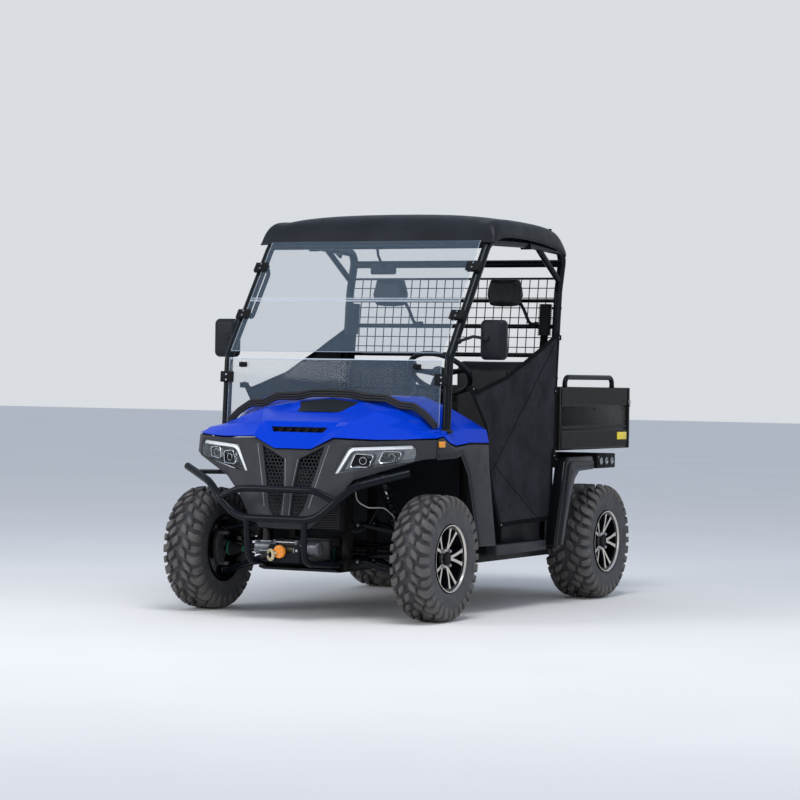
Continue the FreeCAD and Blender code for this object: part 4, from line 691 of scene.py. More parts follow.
bowl, glass, strip_bm = bmesh.new(), bmesh.new(), bmesh.new()
for side in (1, -1):
    loops = [[nose(side * x, z, behind) for x, z in shrunk(lamp_edge, inset)]
             for inset, behind in ((0.001, 0.004), (0.005, 0.004), (0.008, 0.030), (0.018, 0.058))]
    rings(bowl, loops[:3], ends=False)
    back = rings(bowl, loops[2:], ends=False)
    bowl.faces.new(back[-1])
    plate(glass, [nose(side * x, z, 0.003) for x, z in shrunk(lamp_edge, 0.002)], (0, 0.0025, 0), 0.0008)
    outer = bent([Vector((0.2485, 0, 0.734)), Vector((0.3215, 0, 0.8625)), Vector((0.602, 0, 0.8765))], 0.055, 8)
    inner = bent([Vector((0.2630, 0, 0.731)), Vector((0.3330, 0, 0.8480)), Vector((0.602, 0, 0.8610))], 0.040, 8)
    rings(strip_bm, [[nose(side * x, z, behind) for x, z, behind in
                      ((a.x, a.z, 0.008), (b.x, b.z, 0.008), (b.x, b.z, 0.022), (a.x, a.z, 0.022))]
                     for a, b in zip(outer, inner)])
    for frame_edge in projector_frames:
        tight, middle, wide = (rounded(shrunk(frame_edge, by), 0.012 - by * 0.5) for by in (0.003, 0.0, -0.002))
        hoops = [[nose(side * x, z, behind) for x, z in edge] for edge, behind in
                 ((tight, 0.013), (middle, 0.010), (wide, 0.013), (wide, 0.040), (tight, 0.040))]
        rings(strip_bm, hoops + hoops[:1], ends=False, mat=1)
        pocket = rounded(shrunk(frame_edge, 0.016), 0.006)
        rings(bowl, [[nose(side * x, z, behind) for x, z in edge] for edge, behind in
                     ((tight, 0.024), (pocket, 0.036))], mat=1)
        x, z = (sum(p[k] for p in frame_edge) / 4 for k in (0, 1))
        seat, ahead = nose(side * x, z, 0.032), (side * 0.3, -0.95, 0)
        turned(bowl, seat, ahead, projector, 28, mat=1)
        turned(strip_bm, seat, ahead, ((0, 0.0185), (0.0075, 0.0198), (0.010, 0.0185)), 28, mat=1)
add("headlamp_bowls", bowl, [lamp_bowl, gloss_black], replaces=("headlamps",), smooth=35)
add("headlamp_strips", strip_bm, [lamp_white, chrome], smooth=30)
add("headlamp_covers", glass, lens, smooth=30)
bm = bmesh.new()
for side in (1, -1):
    sweep(bm, [nose(side * x, z, 0.002) for x, z in lamp_edge + lamp_edge[:1]], 0.0026, sides=8, steps=1)
add("headlamp_seals", bm, seal_rubber)


# Flanks of the nose: thin charcoal panels from the lamp round the wheel opening down to the sill, with
# a stepped flange along the opening and an amber marker.

amber = material("amber_lens", (0.90, 0.36, 0.02), 0.2, bump=0.02, coat=0.3, mottle=0.1)
dressed("side_panels", charcoal, 0.0016, 2)
arch = [(-1.010, 0.812), (-0.812, 0.819), (-0.757, 0.831), (-0.672, 0.731), (-0.586, 0.482), (-0.549, 0.358)]
bm = bmesh.new()
for side in (1, -1):
    loops = []
    for k, (y, z) in enumerate(arch):
        (y0, z0), (y1, z1) = arch[max(k - 1, 0)], arch[min(k + 1, len(arch) - 1)]
        along = Vector((y1 - y0, z1 - z0)).normalized()
        out = Vector((-along.y, along.x)) * (1 if along.x > along.y else -1)
        loops.append([(side * x, y + out.x * away, z + out.y * away)
                      for x, away in ((0.6885, 0), (0.6925, 0.004), (0.6925, 0.022), (0.6885, 0.028))])
    rings(bm, loops)
add("wheel_arch_flanges", bm, black_plastic, smooth=30)
bm = bmesh.new()
for side in (1, -1):
    x0, x1 = sorted((side * 0.6893, side * 0.6975))
    block(bm, (x0, -1.018, 0.868), (x1, -0.956, 0.898), 0.0028, 3)
    x0, x1 = sorted((side * 0.6975, side * 0.6983))
    for k in range(9):
        y = -1.011 + k * 0.006
        block(bm, (x0, y, 0.872), (x1, y + 0.0028, 0.894))
add("marker_lamps", bm, amber, replaces=("side_markers",))


# Windscreen: three clear plastic sheets in clamps, standing off the pillars, with pale strips along the joints and
# edges that are painted highlights, two latch knobs and a ribbed rubber seal that follows the hood.

# Painted highlights: pale, half-clear strips along the sheets' joints and edges stand in for the light that the sheet
# edges catch; they are not parts of the windscreen.
painted_edge_highlight = material("painted_edge_highlight", (0.80, 0.88, 0.95), 0.15, bump=0.0, mottle=0.03, alpha=0.7)
painted_soft_highlight = material("painted_soft_highlight", (0.55, 0.62, 0.70), 0.15, bump=0.0, mottle=0.03, alpha=0.4)
clear = material("clear_panel", (0.15, 0.21, 0.28), 0.03, bump=0.0, mottle=0.03, alpha=0.16)
PANEL_HALF, STAND_OFF, SHEET = 0.620, 0.036, 0.0045
slope = (brow - knee).normalized()
outward = Vector((0, -slope.z, slope.y))


def on_slope(x, run, off=STAND_OFF):
    """A point in front of the leaning pillars."""
    return Vector((x, knee.y, knee.z)) + slope * run + outward * off


def on_lower(x, z, off=STAND_OFF):
    """A point in front of the pillars' upright foot."""
    return Vector((x, -0.849 + 0.0532 * (z - 0.933) - off, z))


seal_line = [(0, 1.121), (0.120, 1.118), (0.190, 1.103), (0.320, 1.099), (0.400, 1.066), (0.480, 1.060),
             (0.550, 1.016), (0.604, 0.964)]
seal_half = bent([Vector((x, 0, z)) for x, z in seal_line], 0.05, 5)
seal_full = [Vector((-p.x, 0, p.z)) for p in seal_half[:0:-1]] + seal_half
bm = bmesh.new()
low_edge = [on_lower(p.x, p.z - 0.004) for p in seal_full]
corners = [on_lower(side * PANEL_HALF, z) for side, z in ((1, 0.964), (1, 1.303), (-1, 1.303))]
plate(bm, [on_lower(-PANEL_HALF, 0.964)] + low_edge + corners, (0, SHEET, 0))
for low, high in ((0.012, 0.340), (0.352, 0.730)):
    corners = [on_slope(side * PANEL_HALF, run) for side, run in ((-1, low), (1, low), (1, high), (-1, high))]
    plate(bm, corners, -outward * SHEET)
add("windscreen_sheets", bm, clear, replaces=("windscreen",), smooth=30)
bm = bmesh.new()
for at, size, mat in ((0.0125, 0.0018, 1), (0.337, 0.0018, 0), (0.3435, 0.0030, 1), (0.355, 0.0018, 0)):
    sweep(bm, [on_slope(-PANEL_HALF, at, 0.0352), on_slope(PANEL_HALF, at, 0.0352)], size, sides=8, mat=mat)
sweep(bm, [on_lower(-PANEL_HALF, 1.301, 0.0352), on_lower(PANEL_HALF, 1.301, 0.0352)], 0.0026, sides=8)
for x in (-1, 1):
    sweep(bm, [on_slope(x * PANEL_HALF, 0.015, 0.0345), on_slope(x * PANEL_HALF, 0.728, 0.0345)], 0.0016, sides=8,
          mat=1)
    sweep(bm, [on_lower(x * PANEL_HALF, 0.966, 0.0345), on_lower(x * PANEL_HALF, 1.300, 0.0345)], 0.0016, sides=8,
          mat=1)
add("windscreen_edge_highlights", bm, [painted_edge_highlight, painted_soft_highlight])
bm = bmesh.new()
for x in (-0.53, 0.49):
    middle = on_lower(x, 1.268)
    block(bm, middle + Vector((-0.021, -0.020, -0.013)), middle + Vector((0.021, -0.0003, 0.013)), 0.004, 3)
    block(bm, middle + Vector((-0.013, 0.0048, -0.010)), middle + Vector((0.013, 0.012, 0.010)), 0.002, 2)
    block(bm, middle + Vector((-0.003, -0.0235, -0.016)), middle + Vector((0.003, -0.0195, 0.016)), 0.001, 1)
add("windscreen_knobs", bm, dull_black)
bm = bmesh.new()
for rise, off, radius in ((-0.006, 0.0415, 0.0078), (0.007, 0.0435, 0.0066), (0.020, 0.0415, 0.0078),
                          (0.006, 0.0270, 0.0120)):
    sweep(bm, [on_lower(p.x, p.z + rise, off) for p in seal_full], radius, sides=10)
add("windscreen_seal_ribs", bm, seal_rubber, replaces=("windscreen_seal",), smooth=60)
dressed("windscreen_clamps", dull_black, 0.0030, 2)
bm = bmesh.new()
for side in (1, -1):
    x = side * 0.629
    for centre, along, rise in ((on_lower(x, 1.202, 0.046), Vector((0, -1, 0)), Vector((0, 0, 1))),
                                (on_slope(x, 0.250, 0.046), outward, slope),
                                (on_slope(x, 0.560, 0.046), outward, slope)):
        for shift in (-0.014, 0.014):
            turned(bm, centre + rise * shift, along, ((0, 0.0058), (0.004, 0.0058), (0.0055, 0.004)), 6)
add("clamp_bolts", bm, steel)


# Roof: one vacuum-formed black plastic shell, crowned, with a deep front brim and a ridge over each side
# rail. Four bosses carry it on the cage's rails.

roof_rows = (
    (-0.434, (1.917, 1.917, 1.916, 1.914, 1.914, 1.913, 1.912)),
    (-0.420, (1.965, 1.965, 1.960, 1.955, 1.955, 1.950, 1.920)),
    (-0.398, (2.040, 2.036, 2.020, 2.014, 2.026, 1.992, 1.926)),
    (-0.310, (2.079, 2.075, 2.054, 2.036, 2.052, 2.020, 1.948)),
    (-0.100, (2.082, 2.078, 2.058, 2.044, 2.048, 2.024, 1.950)),
    (0.180, (2.078, 2.074, 2.052, 2.040, 2.040, 2.016, 1.934)),
    (0.365, (2.064, 2.060, 2.040, 2.030, 2.024, 1.998, 1.912)),
    (0.430, (2.020, 2.017, 2.008, 2.003, 1.996, 1.960, 1.890)),
    (0.464, (1.975, 1.972, 1.968, 1.964, 1.956, 1.926, 1.867)))
roof_x = (0, 0.350, 0.560, 0.615, 0.652, 0.692, 0.700)
bm = bmesh.new()
loops = []
for y, heights in roof_rows:
    half = [(x, y, z) for x, z in zip(roof_x, heights)]
    loops.append([(-x, y, z) for x, y, z in half[:0:-1]] + half)
rings(bm, loops, ends=False, around=False)
if sum(f.normal.z for f in bm.faces) < 0:
    bmesh.ops.reverse_faces(bm, faces=bm.faces)
roof = add("roof_shell", bm, black_plastic, replaces=("roof",), smooth=0, outward=False)
for kind, settings in (("SUBSURF", {"levels": 2, "render_levels": 2}),
                       ("SOLIDIFY", {"thickness": 0.005, "offset": -1})):
    modifier = roof.modifiers.new(kind.lower(), kind)
    for key, value in settings.items():
        setattr(modifier, key, value)
roof.data.shade_smooth()
bm = bmesh.new()
for x in (-1, 1):
    for y in (-0.250, 0.330):
        turned(bm, (x * 0.645, y, 1.953), (0, 0, 1), ((0, 0.016), (0.050, 0.016), (0.070, 0.024)), 20)
        block(bm, (x * 0.645 - 0.03, y - 0.02, 1.9533), (x * 0.645 + 0.03, y + 0.02, 1.957), 0.001)
add("roof_bosses", bm, dull_black)


# Mirrors: on each side a moulded black head with a glass let in, on a ball arm from the pillar. A wide
# mirror hangs from the header on a short stem.

mirror_glass = material("mirror_glass", (0.70, 0.73, 0.75), 0.04, metal=1.0, bump=0.0, mottle=0.03)
HEAD_X, HEAD_Z = 0.789, 1.410
bm = bmesh.new()
for side in (1, -1):
    loops = []
    for inset, y in ((0.002, -0.5905), (0.0, -0.596), (0.0, -0.618), (0.004, -0.630), (0.014, -0.638),
                     (0.030, -0.640)):
        w, h, corner = 0.070 - inset, 0.102 - inset, 0.026 - inset * 0.4
        loop = []
        for quarter, (sx, sz) in enumerate(((1, 1), (-1, 1), (-1, -1), (1, -1))):
            for step in range(6):
                a = math.pi / 2 * (quarter + step / 5)
                loop.append((side * (HEAD_X + sx * (w - corner) + corner * math.cos(a)), y,
                             HEAD_Z + sz * (h - corner) + corner * math.sin(a)))
        loops.append(loop)
    rings(bm, loops)
    glass_edge = [(side * HEAD_X + (x - side * HEAD_X) * 0.90, HEAD_Z + (z - HEAD_Z) * 0.90) for x, _, z in loops[0]]
    rings(bm, [[(x, y, z) for x, z in glass_edge] for y in (-0.5904, -0.5895)], mat=1)
    start = on_slope(side * 0.667, 0.112, 0.0)
    sweep(bm, [start + Vector((0, 0.004, 0)), (side * 0.712, -0.694, 1.425), (side * 0.748, -0.652, 1.418),
               (side * 0.760, -0.641, 1.418)], 0.008, 0.02, 14, 5)
    turned(bm, (side * 0.760, -0.654, 1.418), (0, 1, 0), ((0, 0.009), (0.004, 0.014), (0.010, 0.016), (0.016, 0.014)),
           20)
    turned(bm, start + Vector((side * -0.006, 0, 0)), (side, 0, 0), ((0, 0.015), (0.010, 0.015), (0.018, 0.011)), 20)
add("side_mirror_heads", bm, [black_plastic, mirror_glass], replaces=("side_mirrors",),
    smooth=35)
bm = bmesh.new()
block(bm, (-0.075, -0.345, 1.755), (0.075, -0.3235, 1.817), 0.010, 4)
block(bm, (-0.068, -0.3234, 1.761), (0.068, -0.3228, 1.811), 0.0, mat=1)
sweep(bm, [(0, -0.405, 1.885), (0, -0.395, 1.852), (0, -0.346, 1.800)], 0.007, 0.02, 14, 5)
block(bm, (-0.016, -0.4235, 1.8845), (0.016, -0.390, 1.892), 0.002)
turned(bm, (0, -0.356, 1.806), (0, 1, -0.4), ((0, 0.008), (0.004, 0.013), (0.012, 0.013)), 18)
add("centre_mirror_head", bm, [black_plastic, mirror_glass], replaces=("centre_mirror",),
    smooth=35)


# Grab handle: a steel tube bent twice, painted satin black and welded to two round feet on the passenger's
# pillar.

bm = bmesh.new()
inward = Vector((0, slope.z, -slope.y))


def on_pillar(run, off):
    """A point behind the passenger's leaning pillar."""
    return Vector((-CAGE_X, knee.y, knee.z)) + slope * run + inward * off


sweep(bm, [on_pillar(run, off) for run, off in ((0.610, 0.0235), (0.600, 0.066), (0.300, 0.066), (0.290, 0.0235))],
      0.0115, 0.026, 20, 6)
for run in (0.610, 0.290):
    turned(bm, on_pillar(run, 0.0228), inward, ((0, 0.018), (0.006, 0.018), (0.010, 0.0125)), 20)
add("grab_handle_tube", bm, satin, replaces=("grab_handle",))


# Dash: a moulded black plastic shelf between the pillars, with a cowl over the instrument, a row of rocker
# switches, a glovebox lid and a socket.

DRIVER_X = 0.345
dressed("dash", black_plastic, 0.008, 3)
bm = bmesh.new()
turned(bm, (DRIVER_X, -0.560, 1.088), (0, 0.75, 0.52),
       ((-0.02, 0.060), (0.030, 0.064), (0.034, 0.060), (0.020, 0.056), (0.018, 0.001)), 36)
turned(bm, (DRIVER_X, -0.5475, 1.0965), (0, 0.75, 0.52), ((0, 0.0545), (0.0012, 0.054)), 36, mat=1)
for k in range(5):
    x = 0.030 + k * 0.040
    block(bm, (x - 0.014, -0.5635, 1.046), (x + 0.014, -0.5585, 1.078), 0.002)
    block(bm, (x - 0.009, -0.5590, 1.052), (x + 0.009, -0.5555, 1.064), 0.0015, mat=2)
block(bm, (-0.400, -0.5610, 1.050), (-0.130, -0.5570, 1.088), 0.004)
block(bm, (-0.290, -0.5575, 1.064), (-0.240, -0.5530, 1.074), 0.002, mat=2)
turned(bm, (-0.060, -0.560, 1.064), (0, 1, 0.1), ((0, 0.016), (0.005, 0.016), (0.006, 0.011), (0.0, 0.010)), 24,
       mat=2)
add("dash_fittings", bm, [black_plastic, mirror_glass, dull_black], smooth=35)


# Steering wheel: a moulded black rim with three spokes and a domed hub, on a steel column that comes out of
# the dash and leans back.

dressed("steering_column", satin, 0.001)
TILT = Matrix.Translation((DRIVER_X, -0.338, 1.238)) @ Matrix.Rotation(math.radians(-38), 4, "X")
WHEEL_R, GRIP = 0.165, 0.0138
bm = bmesh.new()
axis = TILT.to_3x3() @ Vector((0, 0, 1))
grip_section = [TILT @ Vector((WHEEL_R + GRIP * math.cos(b), 0, GRIP * math.sin(b)))
                for b in (math.pi / 8 * k for k in range(16))]
spun(bm, grip_section, TILT.translation, axis, 72, closed=True)
for degrees in (-10, 190, 90):
    a = math.radians(degrees)
    out, across = Vector((math.cos(a), math.sin(a), 0)), Vector((-math.sin(a), math.cos(a), 0))
    loops = []
    for reach, half, high in ((0.034, 0.024, 0.007), (0.090, 0.017, 0.006), (0.154, 0.014, 0.006)):
        section = ((-1, -1), (1, -1), (1, 0.4), (0.6, 1), (-0.6, 1), (-1, 0.4))
        loops.append([TILT @ (out * reach + across * half * x + Vector((0, 0, high * z))) for x, z in section])
    rings(bm, loops)
turned(bm, TILT @ Vector((0, 0, -0.016)), axis,
       ((0, 0.034), (0.010, 0.040), (0.026, 0.042), (0.034, 0.036), (0.038, 0.020), (0.039, 0.001)), 40)
add("steering_wheel_rim", bm, black_plastic, "steering_wheel", ("steering_wheel",), 40)


# Gear lever: a straight steel rod that stands in a stepped rubber boot on the floor, with a moulded black
# knob pressed on its top.

LEVER_X, LEVER_Y = 0.070, -0.460
bm = bmesh.new()
sweep(bm, [(LEVER_X, LEVER_Y, 0.318), (LEVER_X, LEVER_Y, 0.972)], 0.0085, sides=14, mat=1)
rings(bm, [[(LEVER_X + half * math.cos(a), LEVER_Y + half * 1.2 * math.sin(a), z)
            for a in (math.pi / 10 * k for k in range(20))] for z, half in
           ((0.9672, 0.010), (0.975, 0.017), (0.992, 0.0215), (1.010, 0.0215), (1.022, 0.015), (1.0265, 0.004))])
for k in range(7):
    less = 0.003 * k
    turned(bm, (LEVER_X, LEVER_Y, 0.3185 + k * 0.010), (0, 0, 1),
           ((0, 0.032 - less), (0.005, 0.030 - less), (0.0098, 0.026 - less)), 20)
add("gear_lever_rod", bm, [black_plastic, steel], replaces=("gear_lever",), smooth=45)


# Seats: a moulded box carries a cushion and a back for each rider, foam under sewn black vinyl with piping.
# Headrests are padded shields on bent steel arms from the hoop.

vinyl = material("seat_vinyl", (0.020, 0.020, 0.023), 0.45, grain=700, bump=0.3, mottle=0.2, shine=0.25)
strap_cloth = material("webbing", (0.005, 0.005, 0.006), 0.8, grain=1200, bump=0.5, shine=0.05)
HEADREST_X, ARM_FOOT = 0.3545, (0.165, 0.4475, 1.512)
FRAMES, PIPING = 20, 0.0022
dressed("seat_box", black_plastic, 0.008, 3)


def stuffed(name, bm, cap, voxel, node):
    """A padded piece: the cover is inflated a little inside its cap, then smoothed."""
    bmesh.ops.recalc_face_normals(bm, faces=bm.faces)
    mesh = bpy.data.meshes.new(name)
    bm.to_mesh(mesh)
    bm.free()
    piece = bpy.data.objects.new(name, mesh)
    bpy.context.scene.collection.objects.link(piece)
    remesh = piece.modifiers.new("remesh", "REMESH")
    remesh.mode = "VOXEL"
    remesh.voxel_size = voxel
    piece.data = bpy.data.meshes.new_from_object(piece.evaluated_get(bpy.context.evaluated_depsgraph_get()))
    piece.modifiers.clear()
    rest = [v.co.copy() for v in piece.data.vertices]
    cloth = piece.modifiers.new("cloth", "CLOTH")
    cloth.settings.use_pressure = True
    cloth.settings.uniform_pressure_force = 4
    cloth.settings.effector_weights.gravity = 0
    cloth.point_cache.frame_end = FRAMES
    for number in range(1, FRAMES + 1):
        bpy.context.scene.frame_set(number)
    puffed = piece.evaluated_get(bpy.context.evaluated_depsgraph_get())
    ends = [v.co.copy() for v in puffed.data.vertices]
    piece.modifiers.clear()
    bpy.context.scene.frame_set(1)
    for v, start, end in zip(piece.data.vertices, rest, ends):
        step = end - start
        v.co = start + step * min(1, cap / max(step.length, 1e-9))
    piece.data.materials.clear()
    piece.data.materials.append(vinyl)
    piece.data.shade_smooth()
    finish = piece.modifiers.new("subdivision", "SUBSURF")
    finish.levels = finish.render_levels = 1
    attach(piece, ROOT)
    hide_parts(node)


for side_name, side in (("driver", 1), ("passenger", -1)):
    x0, x1 = sorted((side * 0.1325, side * 0.5515))
    bm = bmesh.new()
    block(bm, (x0, -0.112, 0.6530), (x1, 0.352, 0.756), 0.030, 4)
    stuffed(f"seat_cushion_{side_name}", bm, 0.008, 0.009, "seat_cushions")
    bm = bmesh.new()
    section = [(0.252, 0.774), (0.330, 0.774), (0.352, 1.312), (0.296, 1.312), (0.264, 1.262)]
    plate(bm, [(x0, y, z) for y, z in section], (x1 - x0, 0, 0), 0.020, 4)
    stuffed(f"seat_back_{side_name}", bm, 0.007, 0.009, "seat_backs")
    bm = bmesh.new()
    outline = [(-0.082, 1.611), (0.082, 1.611), (0.104, 1.668), (0.096, 1.710), (0.080, 1.757), (-0.080, 1.757),
               (-0.096, 1.710), (-0.104, 1.668)]
    plate(bm, [(side * HEADREST_X + x, 0.392, z) for x, z in outline], (0, 0.054, 0), 0.010, 3)
    stuffed(f"headrest_{side_name}", bm, 0.005, 0.007, "headrests")
bm = bmesh.new()
for side in (1, -1):
    cx = side * HEADREST_X
    for x in (-0.035, 0.035):
        turned(bm, (cx + x, 0.3890, 1.672), (0, -1, 0), ((-0.004, 0.0055), (0.0015, 0.005), (0.0025, 0.003)), 14)
    arm = ((0.075, 0.446, 1.635), (0.100, 0.452, 1.590), (0.135, 0.4485, 1.515), ARM_FOOT)
    sweep(bm, [(cx + x, y, z) for x, y, z in arm], 0.009, 0.03, 16, 5)
    turned(bm, (cx + ARM_FOOT[0], *ARM_FOOT[1:]), (1, 0, 0),
           ((0, 0.009), (0.002, 0.013), (0.022, 0.013), (0.024, 0.009)),
           16)
add("headrest_arms", bm, satin)
bm = bmesh.new()
for side in (1, -1):
    x0, x1 = sorted((side * 0.1315, side * 0.5525))
    for share in (0.25, 0.75):
        x = x0 + (x1 - x0) * share
        sweep(bm, [(x, -0.085, 0.7585), (x, 0.235, 0.7585)], PIPING, sides=8)
        sweep(bm, [(x, 0.2545, 0.800), (x, 0.2555, 1.250)], PIPING, sides=8)
    sweep(bm, [(x0 + 0.02, 0.2505, 1.150), (x1 - 0.02, 0.2505, 1.150)], PIPING, sides=8)
add("seat_piping", bm, strap_cloth)


# Belt covers: a ribbed rubber boot over each reel on the hoop, with the webbing belt and its steel tongue
# running down to the seat.

bm = bmesh.new()
for side in (1, -1):
    for k in range(16):
        z = 1.4505 + k * 0.0107
        for z0, z1, inset in ((z, z + 0.0068, 0.0), (z + 0.0068, z + 0.0107, 0.0045)):
            if z1 > 1.622:
                continue
            y = hoop_y(z) - 0.0135
            x0, x1 = sorted((side * (0.5648 + inset), side * (0.6218 - inset)))
            block(bm, (x0, y - 0.049 + inset, z0), (x1, y - inset * 0.5, z1), 0.0)
    points = [(side * 0.593, hoop_y(1.45) - 0.036, 1.4505), (side * 0.590, 0.385, 1.200),
              (side * 0.585, 0.372, 0.810)]
    corners = ((-0.023, -0.0008), (0.023, -0.0008), (0.023, 0.0008), (-0.023, 0.0008))
    rings(bm, [[(x + u, y + v, z) for u, v in corners] for x, y, z in points], mat=1)
    block(bm, (side * 0.589 - 0.030, 0.378, 1.10), (side * 0.589 + 0.030, 0.386, 1.128), 0.002, mat=2)
add("belt_reel_covers", bm, [dull_black, strap_cloth, steel], replaces=("belt_covers",),
    smooth=30)


# Side nets: a panel of woven black mesh stretched from the pillar to the hoop on each side, bound with
# webbing, sewn across from its top corner and held by tabs.

net_cloth = material("net_cloth", (0.023, 0.024, 0.029), 0.8, grain=1500, bump=0.5, mottle=0.35, patch=7, shine=0.06)
NET_X, NET_FRONT, NET_LENGTH = 0.6690, -0.642, 1.101
net_top = ((NET_FRONT, 1.179), (-0.560, 1.150), (-0.190, 1.235), (0.165, 1.365), (0.459, 1.480))
net_low = ((NET_FRONT, 1.1785), (-0.443, 0.953), (-0.400, 0.700), (-0.266, 0.441), (0.381, 0.452), (0.391, 0.760),
           (0.423, 0.840), (0.430, 1.185), (0.459, 1.4795))
bound = [(-0.630, 1.170), (-0.560, 1.138), (-0.190, 1.223), (0.165, 1.353), (0.444, 1.462), (0.420, 1.185),
         (0.413, 0.845), (0.380, 0.815), (0.370, 0.465), (-0.258, 0.454), (-0.388, 0.705), (-0.431, 0.950),
         (-0.630, 1.170)]
seams = (((0.430, 1.440), (-0.390, 0.715)), ((-0.335, 0.765), (0.200, 0.470)))


def net_point(side, y, z, lift=0.0):
    """A point of the net, with soft folds that fan out of its top corner."""
    corner_y, corner_z = net_top[-1]
    toward = math.atan2(z - corner_z, y - corner_y)
    reach = math.hypot(z - corner_z, y - corner_y)
    fold = 0.0020 * math.sin(toward * 23) * min(1, reach / 0.4) + 0.0012 * math.sin(y * 19 + z * 11)
    return Vector((side * (NET_X + fold + lift), y, z))


for side_name, side in (("driver", 1), ("passenger", -1)):
    bm = bmesh.new()
    corners = {y for line in (net_low[1:-1], net_top[1:2]) for y, _ in line}
    stations = sorted({NET_FRONT + NET_LENGTH * k / 70 for k in range(71)} | corners)
    loops = []
    for y in stations:
        low, high = along_line(net_low, y), along_line(net_top, y)
        loops.append([net_point(side, y, low + (high - low) * k / 60) for k in range(61)])
    rings(bm, loops, ends=False, around=False)
    area = sum(f.calc_area() for f in bm.faces)
    net = add(f"side_net_{side_name}", bm, net_cloth, replaces=("side_nets",), smooth=60)
    trim = bmesh.new()
    for a, b in zip(bound, bound[1:]):
        start, run = Vector(a), Vector(b) - Vector(a)
        across = Vector((-run.y, run.x)).normalized() * 0.011
        loops = []
        for step in range(9):
            p = start + run * step / 8
            low, high = net_point(side, *(p - across)), net_point(side, *(p + across))
            thick = Vector((0.0016, 0, 0))
            loops.append([low - thick, low + thick, high + thick, high - thick])
        rings(trim, loops)
    for a, b in seams:
        start, run = Vector(a), Vector(b) - Vector(a)
        sweep(trim, [net_point(side, *(start + run * step / 24), 0.0006) for step in range(25)], 0.0016, sides=6)
    add(f"side_net_binding_{side_name}", trim, strap_cloth, smooth=40)
bm = bmesh.new()
for side in (1, -1):
    x0, x1 = sorted((side * 0.6665, side * 0.6722))
    for y, z, reach in ((0.400, 0.800, 0.030), (0.405, 1.150, 0.020), (0.440, 1.440, 0.020), (-0.600, 1.160, -0.060),
                        (-0.250, 0.452, 0.0)):
        block(bm, (x0, min(y, y + reach) - 0.012, z - 0.014), (x1, max(y, y + reach) + 0.012, z + 0.014), 0.001)
        turned(bm, (side * 0.6722, y, z), (side, 0, 0), ((0, 0.005), (0.001, 0.005), (0.0018, 0.003)), 10, mat=1)
add("net_tabs", bm, [strap_cloth, steel])


# Suspension: tubular steel wishbones, painted satin black, with pressed bushings and ball joints. Coil-over
# dampers stand on a bracket across the upper ones and lean in to the frame.

ARM_X, DAMPER_FOOT_X, DAMPER_HEAD_X = 0.275, 0.440, 0.330
SPRING_R, SPRING_TURNS, SPRING_STEPS = 0.0305, 6.5, 20
for axle_name, axle_y in (("front", FRONT_AXLE), ("rear", REAR_AXLE)):
    arms_node, shocks_node = f"{axle_name}_arms", f"{axle_name}_shocks"
    bm = bmesh.new()
    springs = bmesh.new()
    heights = [v.co.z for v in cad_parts[shocks_node].data.vertices]
    arm_low = min(v.co.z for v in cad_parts[arms_node].data.vertices)
    for side in (1, -1):
        for pivot_z, ball_z, boss_z, boss in ((0.285, arm_low + 0.012, arm_low, 0.032),
                                              (0.470, 0.4205, 0.4036, 0.028)):
            for turn in (-1, 1):
                y = axle_y + turn * 0.085
                sweep(bm, [(side * ARM_X, y, pivot_z), (side * 0.300, y, pivot_z - 0.001),
                           (side * 0.545, axle_y + turn * 0.009, ball_z)], 0.0138, 0.05, 20, 5)
                turned(bm, (side * ARM_X, y - 0.020, pivot_z), (0, 1, 0),
                       ((0, 0.012), (0, 0.018), (0.040, 0.018), (0.040, 0.012)), 24)
                turned(bm, (side * ARM_X, y - 0.023, pivot_z), (0, 1, 0), ((0, 0.009), (0.046, 0.009)), 6, mat=1)
            turned(bm, (side * 0.560, axle_y, boss_z + 0.0005), (0, 0, 1),
                   ((0, 0.015), (0.004, 0.0195), (boss - 0.005, 0.0195), (boss - 0.001, 0.013)), 24)
        sweep(bm, [(side * 0.420, axle_y + reach, 0.447) for reach in (-0.050, 0.050)], 0.010, sides=14)
        x = side * DAMPER_FOOT_X
        block(bm, (x - 0.020, axle_y - 0.060, 0.436), (x + 0.020, axle_y + 0.060, 0.441), 0.0015)
        for y in (axle_y - 0.0225, axle_y + 0.0225):
            block(bm, (x - 0.018, y - 0.0025, 0.438), (x + 0.018, y + 0.0025, 0.4535), 0.0015)
        foot = Vector((x, axle_y, min(heights) + 0.014))
        head = Vector((side * DAMPER_HEAD_X, axle_y, max(heights) - 0.014))
        along, length = (head - foot).normalized(), (head - foot).length
        for end in (foot, head):
            turned(springs, end - Vector((0, 0.0155, 0)), (0, 1, 0),
                   ((0, 0.007), (0, 0.014), (0.031, 0.014), (0.031, 0.007)), 22)
        turned(springs, foot, along,
               ((0.010, 0.011), (0.020, 0.011), (0.022, 0.033), (0.030, 0.035), (0.034, 0.022),
                (length * 0.45, 0.021), (length * 0.47, 0.0185)), 28)
        turned(springs, foot, along, ((length * 0.45, 0.0065), (length - 0.045, 0.0065)), 16, mat=1)
        turned(springs, foot, along,
               ((length * 0.66, 0.019), (length * 0.69, 0.022), (length - 0.050, 0.022), (length - 0.044, 0.034),
                (length - 0.034, 0.036), (length - 0.028, 0.030), (length - 0.010, 0.011)), 28)
        lift = Vector((0, 1, 0))
        across = along.cross(lift).normalized()
        low, high, last = 0.034, length - 0.048, int(SPRING_TURNS * SPRING_STEPS)
        centres = []
        for k in range(last + 1):
            a = 2 * math.pi * k / SPRING_STEPS
            centres.append(foot + along * (low + (high - low) * k / last)
                           + (across * math.cos(a) + lift * math.sin(a)) * SPRING_R)
        sweep(springs, centres, 0.0056, sides=10)
        turned(springs, foot + along * (length * 0.30) + across * (side * 0.026), along,
               ((0, 0.008), (0.010, 0.012), (0.090, 0.012), (0.098, 0.008)), 18, mat=2)
    add(f"{axle_name}_wishbones", bm, [satin, steel], replaces=(arms_node,), smooth=35)
    add(f"{axle_name}_coil_overs", springs, [gloss_black, chrome, dull_black], replaces=(shocks_node,),
        smooth=40)


